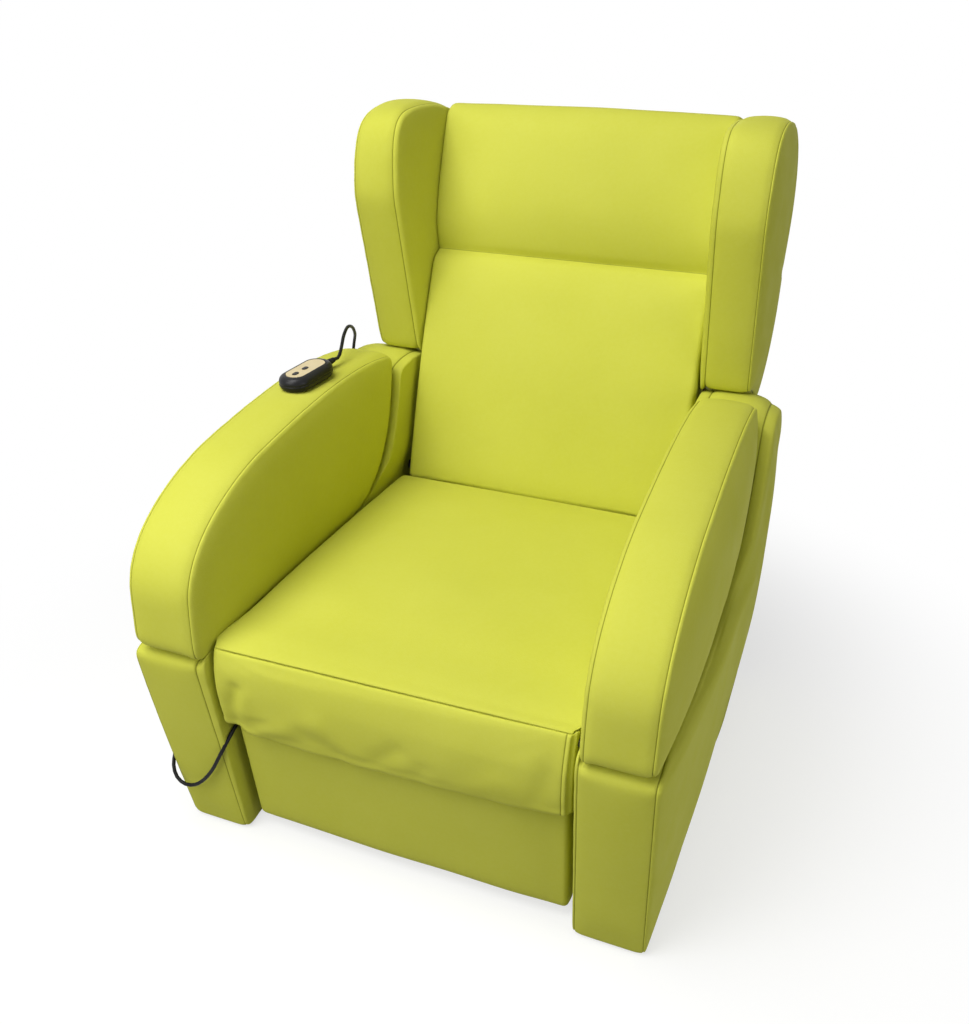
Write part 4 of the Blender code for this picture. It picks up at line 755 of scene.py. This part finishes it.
def make_seat():
    """The seat cushion. Its cover runs on over the legrest's nose to the seam with the skirt."""
    tip = (0.0245, 0.3900)
    under = bezier((0.060, 0.3925), (0.048, 0.3935), (0.036, 0.3915), (tip[0] + 0.0012, tip[1] - 0.0030), 12)
    over = bezier((tip[0] - 0.0006, tip[1] + 0.0004), (0.032, 0.3950), (0.050, 0.3992), (0.075, 0.4002), 20)
    middle, half = (SEAT_FRONT + SEAT_REAR) / 2, (SEAT_REAR - SEAT_FRONT) / 2
    ys = np.linspace(0.080, SEAT_REAR - 0.008, 58)
    top = np.stack([ys, SEAT_TOP + 0.0022 + 0.0045 * (1 - ((ys - middle) / half) ** 2)
                    * smooth((ys - 0.06) / 0.16)], 1)
    rear = arc((SEAT_REAR - 0.008, SEAT_TOP - 0.007), 0.008, 80, 0, 6)

    def firm(y):
        return 0.12 + 0.88 * smooth((y - 0.03) / 0.12)

    outline = joined(
        (line((SEAT_FRONT, SEAT_BOTTOM), (SEAT_FRONT, SEAT_TOP - 0.016)), 0), (under, 0), (over, firm(over[:, 0])),
        (top, firm(ys)), (rear, 1), (line((SEAT_REAR, SEAT_BOTTOM)), 1))
    ring = np.vstack([outline, outline[:1]])
    along = lengths(ring[:, :2])
    outline = sampled(ring, along, filled(along, 0.010))[::-1]
    base, weight = outline[:, :2], outline[:, 2]
    on_top = (weight > 0.1) & (base[:, 1] > SEAT_TOP - 0.012)
    free = np.where(on_top, smooth((base[:, 0] - 0.040) / 0.14), 0.0)
    free *= np.clip((SEAT_REAR - base[:, 0]) / 0.05, 0, 1)
    # the seat's front seam gets only a faint painted shade
    seam = np.where(np.linalg.norm(base - tip, axis=1) < 0.0016, 0.35, 0.0)
    rows = []
    for x, spot, held in slices(base, SEAT_HALF, 0.016, np.clip(weight, 0.05, 1), free, 0.007):
        back = smooth((spot[:, 0] - 0.0215) / (0.024 if x < 0 else 0.050))
        high = np.clip((spot[:, 1] - SEAT_BOTTOM) / 0.071, 0, 1)
        end = -SKIRT_LEFT - 0.005 if x < 0 else SKIRT_RIGHT
        wider = 1 + (SEAT_FLARE * high * back + (end - 0.001 - SEAT_HALF) * (1 - back)) / SEAT_HALF
        rise = front_rise(x, spot[:, 0])
        ring = np.column_stack([x * wider, spot[:, 0] + rise, np.maximum(spot[:, 1], SEAT_BOTTOM) + rise])
        rows.append((ring, seam, held))
    form = Form(rows).puff(4.0, 0.008).wear(0.0006, 0.0012, 4)
    blend = ("base", "legrest", (0, FRONT + 0.074, SEAT_TOP), (0, FRONT + 0.036, SEAT_TOP))
    dress("seat_cushion", form, None, blend)


def make_back():
    low = np.concatenate([np.linspace(BACK_LOW, BACK_LOW + BACK_FOOT_ROUND, 7)[:-1],
                          np.linspace(BACK_LOW + BACK_FOOT_ROUND, CHANNEL_AT - 0.030, 44)[:-1],
                          CHANNEL_AT - np.array([0.030, 0.022, 0.016, 0.011, 0.007, 0.004, 0.0018])])
    high = np.concatenate([CHANNEL_AT + np.array([0.0018, 0.004, 0.008, 0.013, 0.019, 0.027, 0.036, 0.046]),
                           np.linspace(CHANNEL_AT + 0.046, BACK_HIGH - BACK_TOP_ROUND, 22)[1:-1],
                           np.linspace(BACK_HIGH - BACK_TOP_ROUND, BACK_HIGH, 10)])
    ups = np.concatenate([low, [CHANNEL_AT], high])
    below, off = ups < CHANNEL_AT, np.abs(ups - CHANNEL_AT)
    t = np.where(below, 2 * ups / CHANNEL_AT, 2 * (ups - CHANNEL_AT) / (BACK_LENGTH - CHANNEL_AT)) - 1
    sewn = np.where(below, np.exp(-(off / 0.011) ** 1.4), np.exp(-(off / 0.026) ** 1.3))
    behind = 0.020 * sewn - 0.012 * (1 - t * t)
    for end, size in ((ups - BACK_LOW, BACK_FOOT_ROUND), (BACK_HIGH - ups, BACK_TOP_ROUND)):
        behind += [size * rounding(e / size) for e in end]
    outline = joined(
        (back_point(ups, behind), 1),
        (back_point(BACK_HIGH, np.linspace(0.046, BACK_CUSHION, 5)), 0.3),
        (back_point(np.linspace(BACK_HIGH, BACK_LOW, 30)[1:], BACK_CUSHION), 0),
        (back_point(BACK_LOW, np.linspace(BACK_CUSHION, 0.020, 8)[1:]), 0.3))
    base, weight = outline[:, :2], outline[:, 2]
    line_at = np.full(len(outline), 1.0)
    line_at[:len(ups)] = off
    # the channel seam's strength of painted shade
    seam = np.where(line_at < 0.0005, 0.75, 0.0)
    free = np.where(weight > 0.9, 1 - np.exp(-(line_at / 0.010) ** 2), 0.0)
    up_of = (base - BACK_FOOT) @ (math.sin(BACK_ANGLE), math.cos(BACK_ANGLE))
    draw = 1 - 0.003 / BACK_HALF * (1 - (2 * np.clip(up_of / BACK_LENGTH, 0, 1) - 1) ** 2)
    rows = [(np.column_stack([x * draw, spot]), seam, held)
            for x, spot, held in slices(base, BACK_HALF, 0.010, weight, free, 0.005, -1)]
    dress("back_cushion", Form(rows).puff(4.0, 0.008).wear(0.0009, 0.0014, 5), "backrest")


WRINKLES = (  # (x, z) points along a fold of the skirt, its height and its width
    (((-0.240, 0.330), (-0.251, 0.295), (-0.254, 0.245)), -0.0065, 0.012),
    (((-0.228, 0.325), (-0.234, 0.280)), 0.0030, 0.014),
    (((-0.224, 0.250), (-0.158, 0.280), (-0.110, 0.305)), 0.0034, 0.022),
    (((-0.200, 0.246), (-0.140, 0.262)), -0.0022, 0.016),
    (((-0.133, 0.284), (-0.080, 0.258)), -0.0034, 0.017),
    (((-0.060, 0.262), (-0.020, 0.258)), 0.0018, 0.016),
    (((-0.014, 0.268), (0.019, 0.298)), -0.0026, 0.015),
    (((0.050, 0.258), (0.060, 0.276)), -0.0024, 0.016),
    (((0.120, 0.255), (0.170, 0.290)), 0.0020, 0.022),
    (((0.225, 0.268), (0.240, 0.330)), -0.0022, 0.014),
)
HEM = ((-0.280, 0.249), (-0.252, 0.2415), (-0.206, 0.2385), (-0.141, 0.2335), (-0.069, 0.2355), (0.023, 0.2385),
       (0.100, 0.240), (0.175, 0.2445), (0.233, 0.250), (0.267, 0.2555))  # lower edge of the skirt, (x, z)


def fold(x, z):
    """How far the skirt's wrinkles stand out at a place of its front."""
    total = 0.0
    for points, height, width in WRINKLES:
        best = 1.0
        for a, b in zip(points, points[1:]):
            a, b = np.array(a), np.array(b)
            t = np.clip(np.dot((x, z) - a, b - a) / np.dot(b - a, b - a), 0, 1)
            best = min(best, np.linalg.norm((x, z) - a - (b - a) * t))
        total += height * math.exp(-(best / width) ** 2)
    return total


def make_skirt():
    """The legrest's upper part, wrinkled, with a seam near its right end."""
    def board(z):
        return leg_face(z) + LEG_PANEL

    base = even(np.vstack([
        arc(LEG_AXIS, 0.0190, -30, 130), line((0.0262, 0.3880), (0.0240, 0.3892)),
        bezier((0.0228, 0.3890), (0.0168, 0.380), (0.0148, 0.356), (0.0142, 0.330)),
        bezier((0.0142, 0.330), (0.0139, 0.300), (0.0172, 0.270), (0.0205, 0.257))[1:],
        arc((0.0328, SKIRT_BOTTOM + 0.0125), 0.0125, 184, 270), line((board(SKIRT_BOTTOM), SKIRT_BOTTOM)),
        line((board(0.295), 0.295)),
    ]), 0.0036, 1)
    normal = outward(base)
    front = (base[:, 0] < 0.034) & (base[:, 1] < 0.3885)
    hem = np.clip((0.32 - base[:, 1]) / 0.07, 0, 1) * (base[:, 1] < 0.32)
    left = [(SKIRT_LEFT + SKIRT_ROUND * d, SKIRT_ROUND * rounding(d), 0) for d in EDGE_STEPS[:-1]]
    inner = [(x, 0.0, 0) for x in np.linspace(SKIRT_LEFT + SKIRT_ROUND, SKIRT_RIGHT - 0.013, 74)]
    right = [(SKIRT_RIGHT + d, set_back, seam) for d, set_back, seam in (
        (-0.0090, 0.0, 0), (-0.0072, 0.0012, 1), (-0.0054, -0.0006, 0), (-0.0026, -0.0008, 0), (-0.0010, 0.0, 0),
        (0.0000, 0.0024, 0), (0.0010, 0.0052, 0), (0.0028, 0.0074, 0), (0.0046, 0.0084, 0), (0.0058, 0.0100, 0))]
    rows = []
    for x, set_back, is_seam in left + inner + right:
        shape = np.array([(fold(x, z) + 0.0024 * noise.noise(Vector((x * 14, z * 9, 3.1)))
                           * np.clip((0.395 - z) / 0.10, 0, 1)) if f else 0.0 for (_, z), f in zip(base, front)])
        lift = hem * (np.interp(x, *zip(*HEM)) - SKIRT_BOTTOM + 0.0012 * noise.noise(Vector((x * 30, 0.7, 1.3))))
        rise = front_rise(x, base[:, 0]) * smooth((base[:, 1] - 0.33) / 0.055)
        spot = base + normal * shape[:, None] + np.column_stack([set_back * front + rise, lift + rise])
        # the seam row near the right end also gets painted seam shade
        rows.append((at(x, spot), front & (is_seam > 0),
                     np.where(front, smooth((x - SKIRT_RIGHT + 0.03) / 0.015), 1.0)))
    dress("legrest_skirt", Form(rows).puff(2.0, 0.002).wear(0.0005, 0.0010, 6), "legrest")


def make_panel():
    """The legrest's plain lower part."""
    top, low = SKIRT_BOTTOM + 0.020, LEG_BOTTOM

    def corner(z, way):
        y = leg_face(z)
        return bezier((y + 0.012, z), (y + 0.003, z), (y, z + way * 0.004),
                      (leg_face(z + way * 0.014), z + way * 0.014), 8)

    rear = line((leg_face(low) + LEG_PANEL, low), (leg_face(top) + LEG_PANEL, top))
    outline = even(joined((corner(top, -1), 1), (corner(low, 1)[::-1], 1), (rear, 0)), 0.007, 1)
    weight = outline[:, 2]
    rows = [(at(x * (PANEL_LEFT if x < 0 else 1), spot), 0, held)
            for x, spot, held in slices(outline[:, :2], LEG_HALF, 0.008, weight, weight, 0.003)]
    dress("legrest_panel", Form(rows).puff(2.0, 0.003).wear(0.0, 0.0016, 7), "legrest")


def make_back_cover():
    """The back's rear cover, with a lip over the board's top edge."""
    front, lip = BACK_CUSHION + 0.0156, BACK_CUSHION + 0.0008
    low, high, deep = 0.012, BACK_LENGTH, back_depth(0)
    ups = np.linspace(high - 0.03, 0.03, 60)
    outline = even(joined(
        (back_point(np.linspace(low, high - 0.0105, 40), front), 0),
        (back_point((high - 0.0105, high - 0.002, high), (lip, lip, lip + 0.003)), 0),
        (bezier(back_point(high, front + 0.006), back_point(high, 0.132), back_point(high - 0.006, back_depth(high)),
                back_point(ups[0], back_depth(ups[0])), 10), 0.6),
        (back_point(ups[1:-1], back_depth(ups[1:-1])), 1),
        (bezier(back_point(ups[-1], back_depth(ups[-1])), back_point(0.016, deep), back_point(low, deep - 0.006),
                back_point(low, deep - 0.018), 8), 0.6)), 0.0045, 1)
    base, weight = outline[:, :2], outline[:, 2]
    normal = outward(base)
    rows = []
    places = across(BOARD_HALF - 0.001, 0.008, 0.012)
    marked = min((abs(abs(x) - (BOARD_HALF - 0.012)), abs(x)) for x, _ in places)[1]
    for x, cut in places:
        is_seam = abs(abs(x) - marked) < 1e-6
        inset = cut * weight + (0.0012 if is_seam else 0.0) * weight
        spot = base - normal * inset[:, None]
        held = 1 - weight * min(1.0, max(0.0, BOARD_HALF - 0.013 - abs(x)) / HOLD_EDGE)
        # the marked seam row also gets painted seam shade
        rows.append((at(x, spot), is_seam & (weight > 0.5), held))
    dress("back_cover", Form(rows).puff(2.0, 0.004).wear(0.0008, 0.0012, 8), "backrest")


def make_apron():
    """The low panel at the back, padded a little, with the hole for the power inlet."""
    (front, rear), (low, high) = APRON
    half = SIDE_IN - FIT
    (hole_x0, hole_x1), (hole_z0, hole_z1) = INLET

    def spaced(start, end, marks):
        stops = [start, *(start + d for d in APRON_EDGE), *marks, *(end - d for d in APRON_EDGE[::-1]), end]
        return np.array(filled(stops, 0.012) + [end])

    xs = spaced(-half, half, (hole_x0, hole_x1))
    zs = spaced(low, high, (hole_z0, hole_z1))
    points = [(x, front, z) for z in zs for x in xs]
    for x, _, z in points[:]:
        off = min(half - abs(x), z - low, high - z)
        round_off = APRON_ROUND * rounding(off / APRON_ROUND)
        gap = max(abs(x - (hole_x0 + hole_x1) / 2) - 0.030, abs(z - (hole_z0 + hole_z1) / 2) - 0.020, 0.0)
        swell = 0.004 * min(1.0, off / 0.05) * min(1.0, gap / 0.05)
        points.append((x, rear - round_off + swell, z))
    wide, layer = len(xs), len(points) // 2
    flat = []
    for k, z in enumerate((zs[1:] + zs[:-1]) / 2):
        for i, x in enumerate((xs[1:] + xs[:-1]) / 2):
            if not (hole_x0 < x < hole_x1 and hole_z0 < z < hole_z1):
                a, b = k * wide + i, (k + 1) * wide + i
                flat.append((a, a + 1, b + 1, b))
    edges = [edge for f in flat for edge in zip(f, f[1:] + f[:1])]
    inner = set(edges)
    faces = flat + [tuple(i + layer for i in f) for f in flat]
    faces += [(a, b, b + layer, a + layer) for a, b in edges if (b, a) not in inner]
    used = sorted({i for f in faces for i in f})
    renamed = {old: new for new, old in enumerate(used)}
    points = np.array(points)[used]
    faces = [tuple(renamed[i] for i in f) for f in faces]
    form = SimpleNamespace(points=points, faces=oriented(points, faces), seam=np.zeros(len(points)))
    dress("rear_apron", form, "base", levels=0)


# Handset and its lead

def stadium(length, width, count=24):
    run = (length - width) / 2
    a = np.linspace(math.pi, 2 * math.pi, count + 1)
    front = np.stack([width / 2 * np.cos(a), -run + width / 2 * np.sin(a)], 1)
    return np.vstack([front, -front])


def on_handset(points):
    points = np.asarray(points, float)
    matrix = np.array(HANDSET_PLACE)
    return points @ matrix[:3, :3].T + matrix[:3, 3]


def finish_rigid(piece, node):
    """Puts a piece of the handset in place of its CAD solid."""
    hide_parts(node)
    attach(piece, "base")


BOOT_RIDGE = ((0, 0), (0.0009, 0.0009), (0.0016, 0.0009), (0.0022, 0.0001))  # (how far along, how much thinner)


def make_handset():
    edge, top = 0.011, HANDSET_HEIGHT
    inner = (HANDSET_LENGTH - 0.027, HANDSET_WIDTH - 0.0215)
    ring = stadium(HANDSET_LENGTH, HANDSET_WIDTH)
    seat = stadium(inner[0] + 0.0012, inner[1] + 0.0012)

    def rounded(degrees):
        return [(edge * (1 - math.sin(a)), edge * (1 - math.cos(a))) for a in np.radians(degrees)]

    levels = rounded(np.linspace(0, 90, 7)) + [(0, 0.0122), (0.0006, 0.0128), (0.0006, 0.0134), (0, 0.0140)]
    levels += [(inset, top - drop) for inset, drop in rounded(np.linspace(90, 0, 8))]
    levels = [(ring, *level) for level in levels]
    levels += [(seat, -0.0008, top), (seat, 0.0, top - 0.0006), (seat, 0.0, top - 0.0022)]
    form = Form([(on_handset(np.column_stack([r - outward(r) * inset, np.full(len(r), z)])), 0, 0)
                 for r, inset, z in levels])
    piece = add_piece("handset_shell_body", form.points, form.faces, black_plastic)
    finish_rigid(piece, "handset_shell")

    bm = bmesh.new()
    loops = []
    hole = stadium(*BUTTON_HOLE, 12)
    for outline, shift in ((stadium(*inner), 0.0), *((hole, y) for y in BUTTONS_AT)):
        verts = [bm.verts.new((x, y + shift, 0)) for x, y in dict.fromkeys(map(tuple, np.round(outline, 6)))]
        loops.append(verts)
    edges = [bm.edges.new((a, b)) for verts in loops for a, b in zip(verts, verts[1:] + verts[:1])]
    bmesh.ops.triangle_fill(bm, use_beauty=True, use_dissolve=False, edges=edges)
    made = bmesh.ops.extrude_face_region(bm, geom=bm.faces[:])
    for vert in (v for v in made["geom"] if isinstance(v, bmesh.types.BMVert)):
        vert.co.z -= HANDSET_FACE
    bmesh.ops.recalc_face_normals(bm, faces=bm.faces)
    bm.verts.index_update()
    points = on_handset([(v.co.x, v.co.y, v.co.z + top) for v in bm.verts])
    faces = [tuple(v.index for v in f.verts) for f in bm.faces]
    bm.free()
    piece = add_piece("handset_face_plate", points, faces, beige_plastic)
    piece.data.set_sharp_from_angle(angle=math.radians(35))
    finish_rigid(piece, "handset_face")

    root = HANDSET_LENGTH / 2 - 0.002
    profile = [(0.0, 0.0040), (0.0, 0.0064), (0.003, 0.0066)]
    for k in range(6):
        start, wide = 0.0045 + 0.0030 * k, 0.0063 - 0.00032 * k
        profile += [(start + d, wide - thin) for d, thin in BOOT_RIDGE]
    profile += [(0.0240, 0.0043), (0.0243, 0.0038), (0.0243, 0.0031)]
    spokes = np.linspace(0, 2 * math.pi, 29)[:-1]
    rows = []
    for along, radius in profile:
        ring = at(root + along, radius * np.stack([np.cos(spokes), np.sin(spokes)], 1))
        rows.append((on_handset(ring[:, [1, 0, 2]] + (0, 0, HANDSET_HEIGHT / 2)), 0, 0))
    form = Form(rows)
    piece = add_piece("handset_boot_ridged", form.points, form.faces, rubber)
    finish_rigid(piece, "handset_boot")


def cord_points(count):
    """Evenly spaced points on the lead's line, a Catmull-Rom curve through its route."""
    start = Vector(on_handset([(0, HANDSET_LENGTH / 2 + FIT + BOOT_LENGTH + 2 * FIT, HANDSET_HEIGHT / 2)])[0])
    lead, end = HANDSET_PLACE.to_3x3() @ Vector((0, 1, 0)), Vector(CORD_END)
    first, last = CORD_STRAIGHT
    points = [start, start + lead * first, *map(Vector, CORD_ROUTE), end - Vector((0, last, 0)), end]
    ends = [points[0] * 2 - points[1]] + points + [points[-1] * 2 - points[-2]]
    fine = []
    for a, b, c, d in zip(ends, ends[1:], ends[2:], ends[3:]):
        for i in range(SPAN_STEPS):
            t = i / SPAN_STEPS
            bend = (2 * a - 5 * b + 4 * c - d) * t * t + (3 * b - a - 3 * c + d) * t ** 3
            fine.append(0.5 * (2 * b + (c - a) * t + bend))
    fine = np.array([*fine, points[-1]])
    along = lengths(fine)
    return placed(sampled(fine, along, np.linspace(0, along[-1], count))), along[-1]


def make_cord():
    route, length = cord_points(CORD_POINTS)
    curve = bpy.data.curves.new("handset_lead", "CURVE")
    curve.dimensions = "3D"
    curve.bevel_depth = CORD_RADIUS
    curve.bevel_resolution = 5
    curve.use_fill_caps = True
    spline = curve.splines.new("POLY")
    spline.points.add(len(route) - 1)
    for point, place in zip(spline.points, route):
        point.co = (*place, 1)
    curve.materials.append(rubber)
    cord = add_object("handset_lead", curve)
    finish_rigid(cord, "handset_cord")


# Floor and light

def make_stage():
    """A grey floor that keeps the chair's shadow and looks white, as the world does, and the lamps."""
    corners = [(FLOOR_HALF * x, FLOOR_HALF * y, 0) for x, y in ((-1, -1), (1, -1), (1, 1), (-1, 1))]
    mesh = new_mesh("floor", corners, [(0, 1, 2, 3)])
    floor = add_object("floor", mesh)
    n = Nodes(bpy.data.materials.new("floor"))
    seen = n.seen()
    n.set(Base_Color=FLOOR_GREY, Roughness=0.9, Specular_IOR_Level=0.0, Emission_Color=(1, 1, 1),
          Emission_Strength=n.ramp(seen, 0.0, 1.0, 0.0, FLOOR_GLOW))
    away = n.add("ShaderNodeVectorMath", {0: n.place}, operation="LENGTH").outputs["Value"]
    far = n.add("ShaderNodeMapRange", {"Value": away, "From Min": WHITE_OUT[0], "From Max": WHITE_OUT[1]},
                interpolation_type="SMOOTHSTEP").outputs[0]
    white = n.add("ShaderNodeEmission").outputs[0]
    both = n.add("ShaderNodeMixShader", {0: n.math("MULTIPLY", far, seen), 1: n.shader.outputs[0], 2: white})
    n.put(n.tree.nodes["Material Output"].inputs["Surface"], both.outputs[0])
    mesh.materials.append(n.owner)

    n = Nodes(bpy.data.worlds.new("world"), "Background")
    bpy.context.scene.world = n.set(Color=(1, 1, 1), Strength=n.ramp(n.seen(), 0.0, 1.0, AMBIENT, 1.0))
    for name, place, size, power in LAMPS:
        lamp = bpy.data.lights.new(name, "AREA")
        lamp.shape = "DISK"
        lamp.size = size
        lamp.energy = power
        holder = add_object(name, lamp)
        holder.location = place
        holder.rotation_euler = (Vector(LAMP_AIM) - Vector(place)).to_track_quat("-Z", "Y").to_euler()


make_camera()
make_cord()
make_handset()
make_sides()
make_arm_pads()
make_wings()
make_seat()
make_back()
make_skirt()
make_panel()
make_back_cover()
make_apron()
make_stage()
bpy.context.scene.view_settings.view_transform = "Standard"
